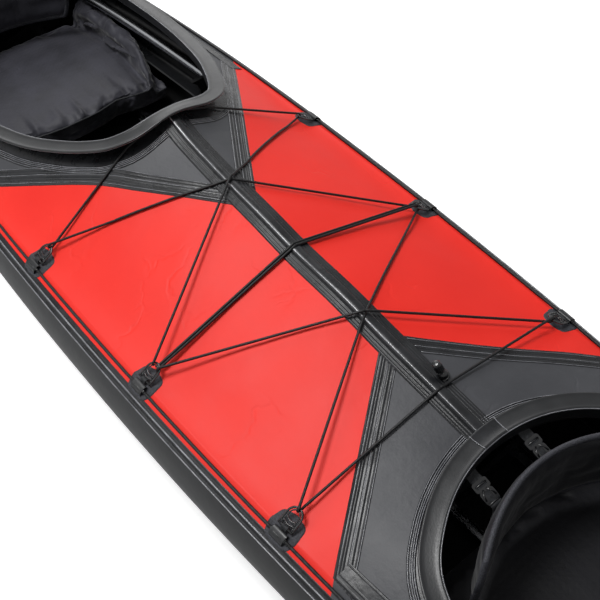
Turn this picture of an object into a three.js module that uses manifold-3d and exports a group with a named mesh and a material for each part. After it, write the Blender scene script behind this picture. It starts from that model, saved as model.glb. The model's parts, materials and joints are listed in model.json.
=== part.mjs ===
// Two-seat folding kayak: a coated fabric skin with welded deck panels, two inflatable sponsons,
// an aluminium tube frame with plate frames, two coamings, two seats and the deck rigging.
// Millimetres. X runs to the bow, Y to port, Z up. The origin is on the ground under the
// middle of the hull.
import * as THREE from 'three';
import * as BufferGeometryUtils from 'three/addons/utils/BufferGeometryUtils.js';
import Module from 'manifold-3d';

const wasm = await Module();
wasm.setup();

// Hull form
const hullLength = 5100;
const hullBeam = 842;
const halfLength = hullLength / 2;
const halfBeam = hullBeam / 2;
const sheerHeight = 246.7;
const widestPointShare = 0.049;
const widestPointX = -widestPointShare * hullLength;
const planPower = 2.15;
const stemHalfWidth = 12;
const bowSheerRise = 75;
const sternSheerRise = 50;
const bowRockerRise = 90;
const sternRockerRise = 70;
const keelFlatShare = 0.51;
const keelFlatHalfLength = keelFlatShare * halfLength;
const rockerPower = 2.2;
const stemRake = 200;
const rakePower = 8;
const stationCount = 28;
// Breadths and heights of the half section's corners, as shares of beam and depth. The beam is
// the breadth that the sections are drawn from, and the widest corner is a little narrower.
const HULL_MID_SHARES = [
  [0, 0], [0.11, 0], [0.42, 0.02], [0.72, 0.1], [0.865, 0.26],
  [0.945, 0.44], [0.981, 0.63], [0.966, 0.78], [0.935, 0.885],
];
const HULL_END_SHARES = [
  [0, 0], [0.09, 0.05], [0.28, 0.2], [0.46, 0.38], [0.62, 0.54],
  [0.76, 0.68], [0.87, 0.79], [0.92, 0.85], [0.935, 0.885],
];

// Skin, deck and their fits
const skinThickness = 1.5;
const deckThickness = 1.5;
const fitGap = 0.3;
const mergeDistance = 0.0001;
const probeStep = 1;
const tubeProbes = 12;
const cordProbes = 8;
const cutOverrun = 200;
const deckEdgeShare = 0.848;
const deckOuterShare = 0.9;
const edgeDrop = 12;
const DECK_COLUMN_SHARES = [0.9, 0.848, 0.765, 0.58, 0.38, 0.19, 0];
const deckToeShare = 0.8;
const seamBandRise = 1;
const seamRibRise = 2.6;
const SEAM_RIB_SHARES = [[0, 0], [0.3, 0], [0.42, 1], [0.54, 0], [0.7, 0], [0.85, 1], [1, 0]];

// Deck crown: height of the ridge above the deck edge, and the power of its cross-section
const crownAtTip = 190;
const crownAft = 62;
const crownAtEnds = 4;
const RIDGE_SHARES = [
  [0.089, 0.82, 1.06], [0.21, 0.66, 1.06], [0.339, 0.547, 1.06], [0.458, 0.42, 1.06],
  [0.597, 0.359, 1.05], [0.726, 0.234, 1.06], [0.855, 0.125, 1.15], [0.957, 0.031, 1.7],
];
const COCKPIT_CROWN_SHARES = [
  [0.12, 0.98, 1.2], [0.3, 0.97, 1.35], [0.5, 0.8, 1.5], [0.7, 0.49, 1.75], [0.85, 0.22, 1.95],
];
const BOW_CROWN_SHARES = [[0.15, 0.86, 1.06], [0.4, 0.54, 1.05], [0.7, 0.22, 1.08], [0.9, 0.06, 1.1]];
const STERN_CROWN_SHARES = [[0.3, 0.76, 1.6], [0.6, 0.42, 1.3], [0.85, 0.15, 1.2]];

// Cockpits and coamings
const cockpitLength = 950;
const cockpitWidth = 524;
const rearCockpitTipShare = -0.062;
const frontCockpitTipShare = 0.3069;
const rearCockpitTipX = rearCockpitTipShare * hullLength;
const frontCockpitTipX = frontCockpitTipShare * hullLength;
const coamingWall = 4;
const coamingLipWidth = 36;
const coamingLipThickness = 5;
const coamingLipFall = 2;
const coamingBelowDeck = 14;
const coamingRiserTip = 30;
const coamingRiserSide = 14;
const coamingRiserAft = 20;
const COCKPIT_OUTLINE_SHARES = [
  [0, 0], [0.0025, 0.19], [0.0095, 0.324], [0.028, 0.435], [0.046, 0.504], [0.097, 0.618],
  [0.155, 0.721], [0.219, 0.817], [0.295, 0.893], [0.4, 0.965], [0.52, 1], [0.66, 1],
  [0.768, 0.985], [0.884, 0.86], [0.945, 0.643], [0.986, 0.342], [1, 0],
];

// Coloured panels: where the boundaries of each grey panel meet the ridge, and their slopes
const panelFrontApex = 303;
const panelFrontSlopeShare = 1.62;
const panelAftApex = 270;
const panelAftSlopeShare = 0.77;
const panelSeamWidth = 34;
const panelSeamThickness = 1.2;
const panelSeamEdgeShare = 0.84;
const panelReachShare = 1.2;

// Ridge strip
const ridgeStripWidth = 57;
const ridgeStripThickness = 1.8;
const ridgeWeltRadius = 10;
const ridgeWeltHeight = 5;
const ridgeStripEndClearance = 16;

// Keel strip
const keelStripWidth = 80;
const keelStripThickness = 3;
const keelStripShare = 0.745;
const keelStripHalfLength = keelStripShare * halfLength;

// Sponsons
const sponsonHalfWidth = 45;
const sponsonHalfHeight = 49;
const sponsonHeightShare = 0.69;
const sponsonLengthShare = 0.7255;
const sponsonHalfLength = sponsonLengthShare * halfLength;
const sponsonSkinClearance = 2;
const sponsonSides = 9;
const sponsonStations = 16;
const sponsonEndShare = 0.35;

// Frame tubes
const tubeRadius = 12;
const tubeSides = 8;
const tubeSkinClearance = 1;
const keelTubeShare = 0.855;
const sideTubeShare = 0.7686;
const keelTubeHalfLength = keelTubeShare * halfLength;
const chineTubeHalfLength = sideTubeShare * halfLength;
const chineShare = 0.52;
const gunwaleTubeRise = 40;
const gunwaleTubeHalfLength = sideTubeShare * halfLength;
const ridgeTubeRadius = 11;
const ridgeTubeDrop = 1.5;
const ridgeTubeEndInset = 20;
const tubeStations = 16;

// Plate frames
const frameThickness = 10;
const frameBand = 46;
const frameSkinClearance = 4.2;
const frameDeckClearance = 4;
const frameHoleClearance = 0.5;
const frameSponsonClearance = 0.6;
const frameOpenTopDrop = 6;
const endFrameShare = 0.765;
const bowFrameShare = 0.788;
const frameBehindSeat = 79;
const frameAheadOfTip = 54;
const frameAtLegs = 294;
const frameAheadOfRidgeEnd = 59;
const rearAftX = rearCockpitTipX - cockpitLength;
const frontAftX = frontCockpitTipX - cockpitLength;
const FRAME_STATIONS = [
  ['frame_stern', -endFrameShare * halfLength, false],
  ['frame_behind_rear_seat', rearAftX - frameBehindSeat, false],
  ['frame_rear_legs', rearCockpitTipX - frameAtLegs, true],
  ['frame_rear_coaming', rearCockpitTipX + frameAheadOfTip, false],
  ['frame_middle', frontAftX - frameAheadOfRidgeEnd, false],
  ['frame_front_legs', frontCockpitTipX - frameAtLegs, true],
  ['frame_front_coaming', frontCockpitTipX + frameAheadOfTip, false],
  ['frame_bow', bowFrameShare * halfLength, false],
];

// Stems
const stemLength = 190;
const stemInset = 0.3;

// Deck fittings
const fittingAheadOfTip = 27.2;
const fittingBehindFront = 129.2;
const fittingRearX = rearCockpitTipX + fittingAheadOfTip;
const fittingFrontX = frontAftX - fittingBehindFront;
const fittingMiddleShare = 0.502;
const fittingMiddleX = fittingRearX + fittingMiddleShare * (fittingFrontX - fittingRearX);
const fittingPadLength = 57;
const fittingPadInboard = 30;
const fittingPadBulge = 12;
const fittingPadOutboard = 8;
const fittingPadThickness = 1.9;
const barrelLength = 26;
const barrelRadius = 7.5;
const ringInboard = 14;
const ringBarHalf = 2;
const ringBarRise = 4.8;
const loopHoleRadius = 3.3;
const loopWall = 1.4;
const loopLength = 20;
const ringHalfWidth = 17;
const ringThickness = 4;
const ringBaseWindow = 8;
const ringCrossBar = 4;
const ringHeight = 38;
const ringArcBar = 4.4;
const ringTilt = 30;
const ringArcSteps = 10;

// Perimeter line and deck bungee
const lineRadius = 3;
const lineShare = 0.876;
const lineSides = 5;
const lineEndShare = 0.91;
const lineEndX = lineEndShare * halfLength;
const lineEndRun = 60;
const bungeeRadius = 2.5;
const bungeeSides = 5;
const bungeeTurnClearance = 0.5;
const bungeeDeckClearance = 1.6;
const bungeeCrossGap = 0.8;
const bungeeSpacing = 6.4;

// Valve
const valveBehindFront = 148.2;
const valveX = frontAftX - valveBehindFront;
const valveY = 22;
const valveFlangeRadius = 10;
const valveFlangeThickness = 2.5;
const valveBallRadius = 8.5;
const valveStemRadius = 4.6;
const valveStemLength = 35;
const valveCapRadius = 7;
const valveCapLength = 15;
const valveCapOverlap = 9;
const valveCapGap = 0.4;
const valveLeanAft = 12;
const valveLeanInboard = 22;
const valveSides = 12;

// Seats
const backrestTopX = 76;
const cushionLength = 424;
const cushionHalfWidth = 268;
const cushionTop = 128;
const bolsterTop = 186;
const cushionClearance = 3;
const cushionBolsterShare = 0.68;
const cushionEdgeShare = 0.09;
const cushionAftOverlap = 24;
const cushionGrid = 10;
const backrestHalfWidth = 190;
const backrestBottom = 186;
const backrestTop = 364;
const backrestTopFall = 16;
const backrestWrap = 70;
const backrestThickness = 26;
const backrestColumns = 10;
const backrestRows = 4;
const strapWidth = 25;
const strapThickness = 2;
const strapY = 62;
const strapDrop = 112;
const strapLandingRise = 30;
const buckleLength = 44;
const buckleWidth = 36;
const buckleThickness = 11;

function smoothStep(t) {
  return t * t * (3 - 2 * t);
}

// Value at x of a table of [x, value, ...] rows, along a smooth curve through its rows.
function alongTable(table, x, column) {
  const last = table.length - 1;
  if (x <= table[0][0]) return table[0][column];
  if (x >= table[last][0]) return table[last][column];
  const i = table.findIndex((row, k) => x >= row[0] && x <= table[k + 1][0]);
  const slopeAt = (k) => {
    const low = Math.max(k - 1, 0);
    const high = Math.min(k + 1, last);
    return (table[high][column] - table[low][column]) / (table[high][0] - table[low][0]);
  };
  const span = table[i + 1][0] - table[i][0];
  const t = (x - table[i][0]) / span;
  const rise = table[i + 1][column] - table[i][column];
  const start = slopeAt(i) * span;
  const end = slopeAt(i + 1) * span;
  return table[i][column] + start * t + (3 * rise - 2 * start - end) * t * t
    + (start + end - 2 * rise) * t * t * t;
}

function planShare(x) {
  const reach = x > widestPointX ? halfLength - widestPointX : halfLength + widestPointX;
  const share = Math.min(Math.abs(x - widestPointX) / reach, 1);
  return 1 - share ** planPower;
}

function beamAt(x) {
  return stemHalfWidth + (halfBeam - stemHalfWidth) * planShare(x);
}

function sheerAt(x) {
  const rise = x > 0 ? bowSheerRise : sternSheerRise;
  return sheerHeight + rise * Math.abs(x / halfLength) ** 3;
}

function keelAt(x) {
  const rocker = x > 0 ? bowRockerRise : sternRockerRise;
  const run = Math.max(0, Math.abs(x) - keelFlatHalfLength) / (halfLength - keelFlatHalfLength);
  return rocker * run ** rockerPower;
}

// Height share and breadth share of each corner of the half section at x.
function sectionShares(x) {
  const sharpness = Math.abs(x / halfLength) ** 2.5;
  return HULL_MID_SHARES.map((mid, k) => {
    const end = HULL_END_SHARES[k];
    return [THREE.MathUtils.lerp(mid[0], end[0], sharpness),
      THREE.MathUtils.lerp(mid[1], end[1], sharpness)];
  });
}

// How far a stem leans back at a share of the half length and of the depth.
function rakeAt(share, height) {
  const top = HULL_MID_SHARES[HULL_MID_SHARES.length - 1][1];
  return stemRake * share ** rakePower * Math.max(0, 1 - height / top) ** 1.5;
}

// Station whose leaning section passes through x at height z.
function sectionStation(x, z) {
  let station = x;
  for (let n = 0; n < 4; n += 1) {
    const height = Math.max(0, (z - keelAt(station)) / (sheerAt(station) - keelAt(station)));
    station = x + Math.sign(x) * rakeAt(Math.abs(station / halfLength), height);
    station = THREE.MathUtils.clamp(station, -halfLength, halfLength);
  }
  return station;
}

// Breadth of the half hull at x and height z, from the section there.
function hullHalfAt(x, z) {
  const station = sectionStation(x, z);
  const share = (z - keelAt(station)) / (sheerAt(station) - keelAt(station));
  if (share <= 0) return 0;
  const section = sectionShares(station);
  const k = section.findIndex((corner, n) => n > 0 && corner[1] >= share);
  if (k < 0) return section[section.length - 1][0] * beamAt(station);
  const [low, high] = [section[k - 1], section[k]];
  const t = high[1] > low[1] ? (share - low[1]) / (high[1] - low[1]) : 1;
  return THREE.MathUtils.lerp(low[0], high[0], t) * beamAt(station);
}

// Lowest height at which a round tube at breadth y lies inside the skin.
function lowestInHull(x, y, radius) {
  const room = radius + tubeSkinClearance;
  const clearAt = (z) => stationsTo(0, Math.PI, tubeProbes)
    .every((angle) => {
      const depth = z - (room + skinThickness) * Math.sin(angle);
      return hullHalfAt(x, depth) >= y + (room + skinThickness) * Math.cos(angle);
    });
  let z = keelAt(x) + room;
  while (!clearAt(z) && z < sheerAt(x)) z += tubeSkinClearance;
  return z;
}

// Rows of [x, crown, power] from stern to bow.
function crownTable() {
  const between = (from, to, shares, high, low) => shares.map(([f, share, power]) =>
    [THREE.MathUtils.lerp(from, to, f), THREE.MathUtils.lerp(low, high, share), power]);
  const rows = [[-halfLength, crownAtEnds, 1.15]];
  rows.push(...between(rearAftX, -halfLength, STERN_CROWN_SHARES, crownAft, crownAtEnds));
  rows.push([rearAftX, crownAft, 2]);
  rows.push(...between(rearCockpitTipX, rearAftX, COCKPIT_CROWN_SHARES, crownAtTip, crownAft));
  rows.push([rearCockpitTipX, crownAtTip, 1.08]);
  rows.push(...between(rearCockpitTipX, frontAftX, RIDGE_SHARES, crownAtTip, crownAft));
  rows.push([frontAftX, crownAft, 2]);
  rows.push(...between(frontCockpitTipX, frontAftX, COCKPIT_CROWN_SHARES, crownAtTip, crownAft));
  rows.push([frontCockpitTipX, crownAtTip, 1.08]);
  rows.push(...between(frontCockpitTipX, halfLength, BOW_CROWN_SHARES, crownAtTip, crownAtEnds));
  rows.push([halfLength, crownAtEnds, 1.15]);
  return rows.sort((a, b) => a[0] - b[0]);
}
const CROWN = crownTable();

// Height of the smooth deck at x and at a share of the half beam.
function smoothDeckAt(x, share) {
  if (share >= deckEdgeShare) {
    const fade = Math.min(1, 1.5 * planShare(x) + 0.1);
    return sheerAt(x) - (edgeDrop * fade * (share - deckEdgeShare)) / (deckOuterShare - deckEdgeShare);
  }
  const crown = alongTable(CROWN, x, 1);
  const power = alongTable(CROWN, x, 2);
  const t = share / deckEdgeShare;
  const toe = deckToeShare * THREE.MathUtils.clamp(3.75 - 2.5 * power, 0, 1) * t ** 6;
  return sheerAt(x) + crown * (1 - t ** power) * (1 - toe);
}

const deckStations = Array.from({ length: stationCount + 1 },
  (unused, i) => -halfLength + (hullLength * i) / stationCount);
const deckColumns = [...DECK_COLUMN_SHARES.map((share) => -share),
  ...DECK_COLUMN_SHARES.slice(0, -1).reverse()];

function deckCorner(i, j) {
  const x = deckStations[i];
  const share = deckColumns[j];
  return new THREE.Vector3(x, share * beamAt(x), smoothDeckAt(x, Math.abs(share)));
}

// Height of the faceted deck at a point of the plan.
function deckAt(x, y) {
  const step = hullLength / stationCount;
  const i = THREE.MathUtils.clamp(Math.floor((x + halfLength) / step), 0, stationCount - 1);
  const t = (x - deckStations[i]) / step;
  const edge = (j) => THREE.MathUtils.lerp(deckCorner(i, j).y, deckCorner(i + 1, j).y, t);
  let j = 0;
  while (j < deckColumns.length - 2 && y > edge(j + 1)) j += 1;
  const [a, b, c, d] = [deckCorner(i, j), deckCorner(i + 1, j), deckCorner(i + 1, j + 1),
    deckCorner(i, j + 1)];
  const heightOn = (p, q, r) => {
    const normal = q.clone().sub(p).cross(r.clone().sub(p));
    return p.z - (normal.x * (x - p.x) + normal.y * (y - p.y)) / normal.z;
  };
  const across = (c.x - a.x) * (y - a.y) - (c.y - a.y) * (x - a.x);
  return across < 0 ? heightOn(a, b, c) : heightOn(a, c, d);
}

// Height of the centre of a round cord lying across or along the deck with a small clearance.
function restOnDeck(x, y, radius) {
  const reach = radius + fitGap;
  const turns = stationsTo(-Math.PI / 2, Math.PI / 2, cordProbes);
  return Math.max(...turns.map((angle) =>
    deckAt(x, y + reach * Math.sin(angle)) + reach * Math.cos(angle)));
}

function hangUnderDeck(x, radius) {
  const reach = radius + ridgeTubeDrop;
  const turns = stationsTo(-Math.PI / 2, Math.PI / 2, cordProbes);
  return Math.min(...turns.map((angle) =>
    deckAt(x, reach * Math.sin(angle)) - reach * Math.cos(angle))) - 1.4 * deckThickness;
}

function meshGeometry(corners, triangles) {
  const geometry = new THREE.BufferGeometry();
  const positions = new Float32Array(corners.flatMap((p) => [p.x, p.y, p.z]));
  geometry.setAttribute('position', new THREE.BufferAttribute(positions, 3));
  geometry.setIndex(triangles);
  return facingOut(geometry);
}

function facingOut(geometry) {
  const position = geometry.attributes.position;
  const index = geometry.index.array;
  const corner = (n) => new THREE.Vector3().fromBufferAttribute(position, index[n]);
  let volume = 0;
  for (let n = 0; n < index.length; n += 3) {
    volume += corner(n).dot(corner(n + 1).cross(corner(n + 2)));
  }
  if (volume < 0) {
    for (let n = 0; n < index.length; n += 3) {
      [index[n + 1], index[n + 2]] = [index[n + 2], index[n + 1]];
    }
  }
  return geometry;
}

// Closed body between two grids of corners of the same size.
function shellBetween(outer, inner) {
  const rows = outer.length;
  const columns = outer[0].length;
  const corners = [...outer.flat(), ...inner.flat()];
  const triangles = [];
  const at = (i, j, layer) => layer * rows * columns + i * columns + j;
  const quad = (a, b, c, d) => triangles.push(a, b, c, a, c, d);
  for (let i = 0; i < rows - 1; i += 1) {
    for (let j = 0; j < columns - 1; j += 1) {
      quad(at(i, j, 0), at(i + 1, j, 0), at(i + 1, j + 1, 0), at(i, j + 1, 0));
      triangles.push(at(i, j, 1), at(i + 1, j + 1, 1), at(i + 1, j, 1));
      triangles.push(at(i, j, 1), at(i, j + 1, 1), at(i + 1, j + 1, 1));
    }
    quad(at(i, 0, 0), at(i, 0, 1), at(i + 1, 0, 1), at(i + 1, 0, 0));
    quad(at(i, columns - 1, 0), at(i + 1, columns - 1, 0), at(i + 1, columns - 1, 1),
      at(i, columns - 1, 1));
  }
  for (let j = 0; j < columns - 1; j += 1) {
    quad(at(0, j, 0), at(0, j + 1, 0), at(0, j + 1, 1), at(0, j, 1));
    quad(at(rows - 1, j, 0), at(rows - 1, j, 1), at(rows - 1, j + 1, 1), at(rows - 1, j + 1, 0));
  }
  return meshGeometry(corners, triangles);
}

// Closed body through rings of corners. Open lofts get end caps cut from the flat outline.
function loft(rings, outline, closed = false) {
  const sides = rings[0].length;
  const corners = rings.flat();
  const triangles = [];
  const spans = closed ? rings.length : rings.length - 1;
  for (let i = 0; i < spans; i += 1) {
    const next = (i + 1) % rings.length;
    for (let k = 0; k < sides; k += 1) {
      const after = (k + 1) % sides;
      const [a, b] = [i * sides + k, i * sides + after];
      const [c, d] = [next * sides + after, next * sides + k];
      triangles.push(a, b, c, a, c, d);
    }
  }
  if (!closed) {
    const flat = outline.map((p) => new THREE.Vector2(...p));
    const turned = THREE.ShapeUtils.isClockWise(flat);
    const start = (rings.length - 1) * sides;
    THREE.ShapeUtils.triangulateShape(flat, []).forEach((corner) => {
      const [a, b, c] = turned ? corner.slice().reverse() : corner;
      triangles.push(a, c, b, start + a, start + b, start + c);
    });
  }
  return meshGeometry(corners, triangles);
}

function circleOutline(radius, sides) {
  return Array.from({ length: sides }, (unused, k) => {
    const angle = (2 * Math.PI * k) / sides;
    return [radius * Math.cos(angle), radius * Math.sin(angle)];
  });
}

// Round cord or tube through the given points, with one ring at each point.
function cordAlong(points, radius, sides) {
  const outline = circleOutline(radius, sides);
  const directionAt = (i) => {
    const back = points[Math.max(i - 1, 0)];
    const on = points[Math.min(i + 1, points.length - 1)];
    const into = points[i].clone().sub(back).normalize();
    const away = on.clone().sub(points[i]).normalize();
    return into.add(away).normalize();
  };
  let side = new THREE.Vector3(0, 0, 1).cross(directionAt(0)).normalize();
  const rings = points.map((point, i) => {
    const direction = directionAt(i);
    side = side.clone().addScaledVector(direction, -side.dot(direction)).normalize();
    const up = direction.clone().cross(side);
    return outline.map(([a, b]) => point.clone().addScaledVector(side, a).addScaledVector(up, b));
  });
  return loft(rings, outline);
}

function tubeAlong(points, radius, steps) {
  const section = new THREE.Shape(circleOutline(radius, tubeSides)
    .map((p) => new THREE.Vector2(...p)));
  const path = new THREE.CatmullRomCurve3(points);
  const tube = new THREE.ExtrudeGeometry(section, { steps, extrudePath: path });
  return facingOut(mergedPositions(tube));
}

function mergedPositions(geometry) {
  const copy = geometry.clone();
  copy.deleteAttribute('normal');
  copy.deleteAttribute('uv');
  return BufferGeometryUtils.mergeVertices(copy, mergeDistance);
}

function toSolid(geometry) {
  const merged = mergedPositions(geometry);
  const vertProperties = new Float32Array(merged.attributes.position.array);
  const triVerts = new Uint32Array(merged.index.array);
  return new wasm.Manifold(new wasm.Mesh({ numProp: 3, vertProperties, triVerts }));
}

function toGeometry(solid) {
  const mesh = solid.getMesh();
  const geometry = new THREE.BufferGeometry();
  const positions = new Float32Array(mesh.vertProperties);
  geometry.setAttribute('position', new THREE.BufferAttribute(positions, 3));
  geometry.setIndex(Array.from(mesh.triVerts));
  return geometry;
}

function largestBody(solid) {
  return solid.decompose().reduce((best, piece) =>
    (piece.volume() > best.volume() ? piece : best));
}

// Upright prism over a plan outline, tall enough to cut the whole boat.
function planPrism(outline, bottom = -cutOverrun, top = hullBeam + cutOverrun) {
  const shape = new THREE.Shape(outline.map(([x, y]) => new THREE.Vector2(x, y)));
  const prism = new THREE.ExtrudeGeometry(shape, { depth: top - bottom, bevelEnabled: false });
  prism.translate(0, 0, bottom);
  return toSolid(prism);
}

function boxSolid(low, high) {
  const size = high.clone().sub(low);
  const box = new THREE.BoxGeometry(size.x, size.y, size.z);
  box.translate(...low.clone().add(high).multiplyScalar(0.5).toArray());
  return toSolid(box);
}

// Plan outline moved outwards by a distance, with sharp corners kept. The outline runs
// anticlockwise seen from above.
function offsetOutline(outline, distance) {
  const count = outline.length;
  const area = outline.reduce((sum, [x, y], i) => {
    const [nextX, nextY] = outline[(i + 1) % count];
    return sum + x * nextY - nextX * y;
  }, 0);
  const turn = Math.sign(area);
  return outline.map(([x, y], i) => {
    const [beforeX, beforeY] = outline[(i + count - 1) % count];
    const [afterX, afterY] = outline[(i + 1) % count];
    const into = new THREE.Vector2(x - beforeX, y - beforeY).normalize();
    const away = new THREE.Vector2(afterX - x, afterY - y).normalize();
    const first = new THREE.Vector2(into.y, -into.x).multiplyScalar(turn);
    const second = new THREE.Vector2(away.y, -away.x).multiplyScalar(turn);
    const miter = first.clone().add(second);
    const scale = (2 * distance) / miter.lengthSq();
    return [x + miter.x * scale, y + miter.y * scale];
  });
}

function hullCorner(u, k, side) {
  const x = u * halfLength;
  const [breadth, height] = sectionShares(x)[k];
  const rake = Math.sign(u) * rakeAt(Math.abs(u), height);
  return new THREE.Vector3(x - rake, side * breadth * beamAt(x),
    keelAt(x) + height * (sheerAt(x) - keelAt(x)));
}

function hullSkin() {
  const last = HULL_MID_SHARES.length - 1;
  const outer = [];
  for (let i = 0; i <= stationCount; i += 1) {
    const u = (2 * i) / stationCount - 1;
    const row = [];
    for (let k = last; k > 0; k -= 1) row.push(hullCorner(u, k, -1));
    for (let k = 0; k <= last; k += 1) row.push(hullCorner(u, k, 1));
    outer.push(row);
  }
  const columns = outer[0].length;
  const inner = outer.map((row, i) => row.map((corner, j) => {
    const before = outer[Math.max(i - 1, 0)][j];
    const after = outer[Math.min(i + 1, outer.length - 1)][j];
    const low = row[Math.max(j - 1, 0)];
    const high = row[Math.min(j + 1, columns - 1)];
    const normal = after.clone().sub(before).cross(high.clone().sub(low)).normalize();
    return corner.clone().addScaledVector(normal, skinThickness);
  }));
  return shellBetween(outer, inner);
}

// The deck's faceted surface as a closed sheet between two heights above it.
function deckSheet(low, high) {
  const layer = (rise) => deckStations.map((unused, i) => deckColumns.map((share, j) => {
    const corner = deckCorner(i, j);
    return corner.setZ(corner.z + rise);
  }));
  return toSolid(shellBetween(layer(high), layer(low)));
}

// Inner outline of a cockpit, anticlockwise seen from above.
function cockpitOutline(tipX) {
  const side = COCKPIT_OUTLINE_SHARES.map(([s, w]) =>
    [tipX - s * cockpitLength, (w * cockpitWidth) / 2]);
  return [...side, ...side.slice(1, -1).reverse().map(([x, y]) => [x, -y])];
}

function riserAt(tipX, x) {
  const s = (tipX - x) / cockpitLength;
  const rows = [[0, coamingRiserTip], [0.3, coamingRiserSide], [0.7, coamingRiserSide],
    [1, coamingRiserAft]];
  return alongTable(rows, s, 1);
}

function coaming(tipX) {
  const inner = cockpitOutline(tipX);
  const wall = offsetOutline(inner, coamingWall);
  const rim = offsetOutline(inner, coamingLipWidth);
  const rings = inner.map(([x, y], i) => {
    const foot = deckAt(...wall[i]);
    const top = foot + riserAt(tipX, x);
    const rimTop = Math.max(top - coamingLipFall,
      deckAt(...rim[i]) + coamingLipThickness + coamingLipFall);
    const low = foot - coamingBelowDeck;
    const at = ([px, py], z) => new THREE.Vector3(px, py, z);
    const chamfer = coamingLipThickness / 3;
    const nearRim = [THREE.MathUtils.lerp(wall[i][0], rim[i][0], 0.93),
      THREE.MathUtils.lerp(wall[i][1], rim[i][1], 0.93)];
    return [at([x, y], low), at([x, y], top), at(nearRim, rimTop),
      at(rim[i], rimTop - chamfer), at(rim[i], rimTop - coamingLipThickness),
      at(wall[i], top - coamingLipThickness), at(wall[i], low)];
  });
  return loft(rings, [], true);
}

// Plan outline of a cockpit's grey panel. Its corners lie at a share of the half beam.
function panelOutline(tipX, edgeShare) {
  const frontApex = tipX + panelFrontApex;
  const aftApex = tipX - cockpitLength - panelAftApex;
  const meetEdge = (apex, slope) => {
    let x = apex;
    for (let n = 0; n < 40; n += 1) x = apex + slope * edgeShare * beamAt(x);
    return x;
  };
  const frontX = meetEdge(frontApex, -panelFrontSlopeShare);
  const aftX = meetEdge(aftApex, panelAftSlopeShare);
  const run = 4;
  const side = [[frontApex, 0]];
  for (let n = 0; n <= run; n += 1) {
    const x = THREE.MathUtils.lerp(frontX, aftX, n / run);
    side.push([x, edgeShare * beamAt(x)]);
  }
  side.push([aftApex, 0]);
  return [...side, ...side.slice(1, -1).reverse().map(([x, y]) => [x, -y])];
}

function deckPanels() {
  const sheet = deckSheet(-deckThickness, 0);
  const cockpits = [rearCockpitTipX, frontCockpitTipX];
  const centres = cockpits.map((tipX) => tipX - cockpitLength / 2);
  const reach = (tipX, offset) => planPrism(offsetOutline(panelOutline(tipX, panelReachShare), offset));
  const hole = (tipX) => planPrism(offsetOutline(cockpitOutline(tipX), coamingWall + fitGap));
  const grey = cockpits.map((tipX) =>
    sheet.intersect(reach(tipX, -fitGap / 2)).subtract(hole(tipX)));
  const between = (lowX, highX, lowY, highY) => boxSolid(
    new THREE.Vector3(lowX, lowY, -cutOverrun),
    new THREE.Vector3(highX, highY, hullBeam + cutOverrun));
  const red = sheet.subtract(reach(rearCockpitTipX, fitGap / 2))
    .subtract(reach(frontCockpitTipX, fitGap / 2));
  const far = halfLength + cutOverrun;
  return {
    deck_rear_cockpit: grey[0],
    deck_front_cockpit: grey[1],
    deck_middle_port: red.intersect(between(centres[0], centres[1], fitGap / 2, hullBeam)),
    deck_middle_starboard: red.intersect(between(centres[0], centres[1], -hullBeam, -fitGap / 2)),
    deck_bow: red.intersect(between(centres[1], far, -hullBeam, hullBeam)),
    deck_stern: red.intersect(between(-far, centres[0], -hullBeam, hullBeam)),
  };
}

const ridgeStripRearX = rearCockpitTipX + coamingWall + ridgeStripEndClearance;
const ridgeStripFrontX = frontCockpitTipX - cockpitLength - coamingWall - ridgeStripEndClearance / 2;

function ridgeFootprint(offset) {
  const half = ridgeStripWidth / 2 + offset;
  const [low, high] = [ridgeStripRearX - offset, ridgeStripFrontX + offset];
  return [[low, -half], [high, -half], [high, half], [low, half]];
}

function ridgeStrip() {
  const low = fitGap;
  const flat = deckSheet(low, low + ridgeStripThickness).intersect(planPrism(ridgeFootprint(0)));
  const stations = [ridgeStripRearX, ...deckStations.filter((x) => x > ridgeStripRearX
    && x < ridgeStripFrontX), ridgeStripFrontX];
  const outline = [[-ridgeWeltRadius, 0], [-0.7 * ridgeWeltRadius, 0.7 * ridgeWeltHeight],
    [0, ridgeWeltHeight], [0.7 * ridgeWeltRadius, 0.7 * ridgeWeltHeight], [ridgeWeltRadius, 0],
    [0, 0]];
  const rings = stations.map((x) => outline.map(([y, rise]) =>
    new THREE.Vector3(x, y, deckAt(x, y) + low + ridgeStripThickness / 2 + rise)));
  return flat.add(toSolid(loft(rings, outline))).subtract(deckSheet(-ridgeWeltHeight, fitGap));
}

function panelSeam(tipX) {
  const outer = panelOutline(tipX, panelSeamEdgeShare);
  const ring = planPrism(offsetOutline(outer, -fitGap))
    .subtract(planPrism(offsetOutline(outer, -panelSeamWidth)));
  const coamingFoot = planPrism(offsetOutline(cockpitOutline(tipX), coamingWall + fitGap));
  const sheet = deckSheet(fitGap, fitGap + panelSeamThickness);
  return largestBody(sheet.intersect(ring).subtract(coamingFoot)
    .subtract(planPrism(ridgeFootprint(fitGap))));
}

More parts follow.
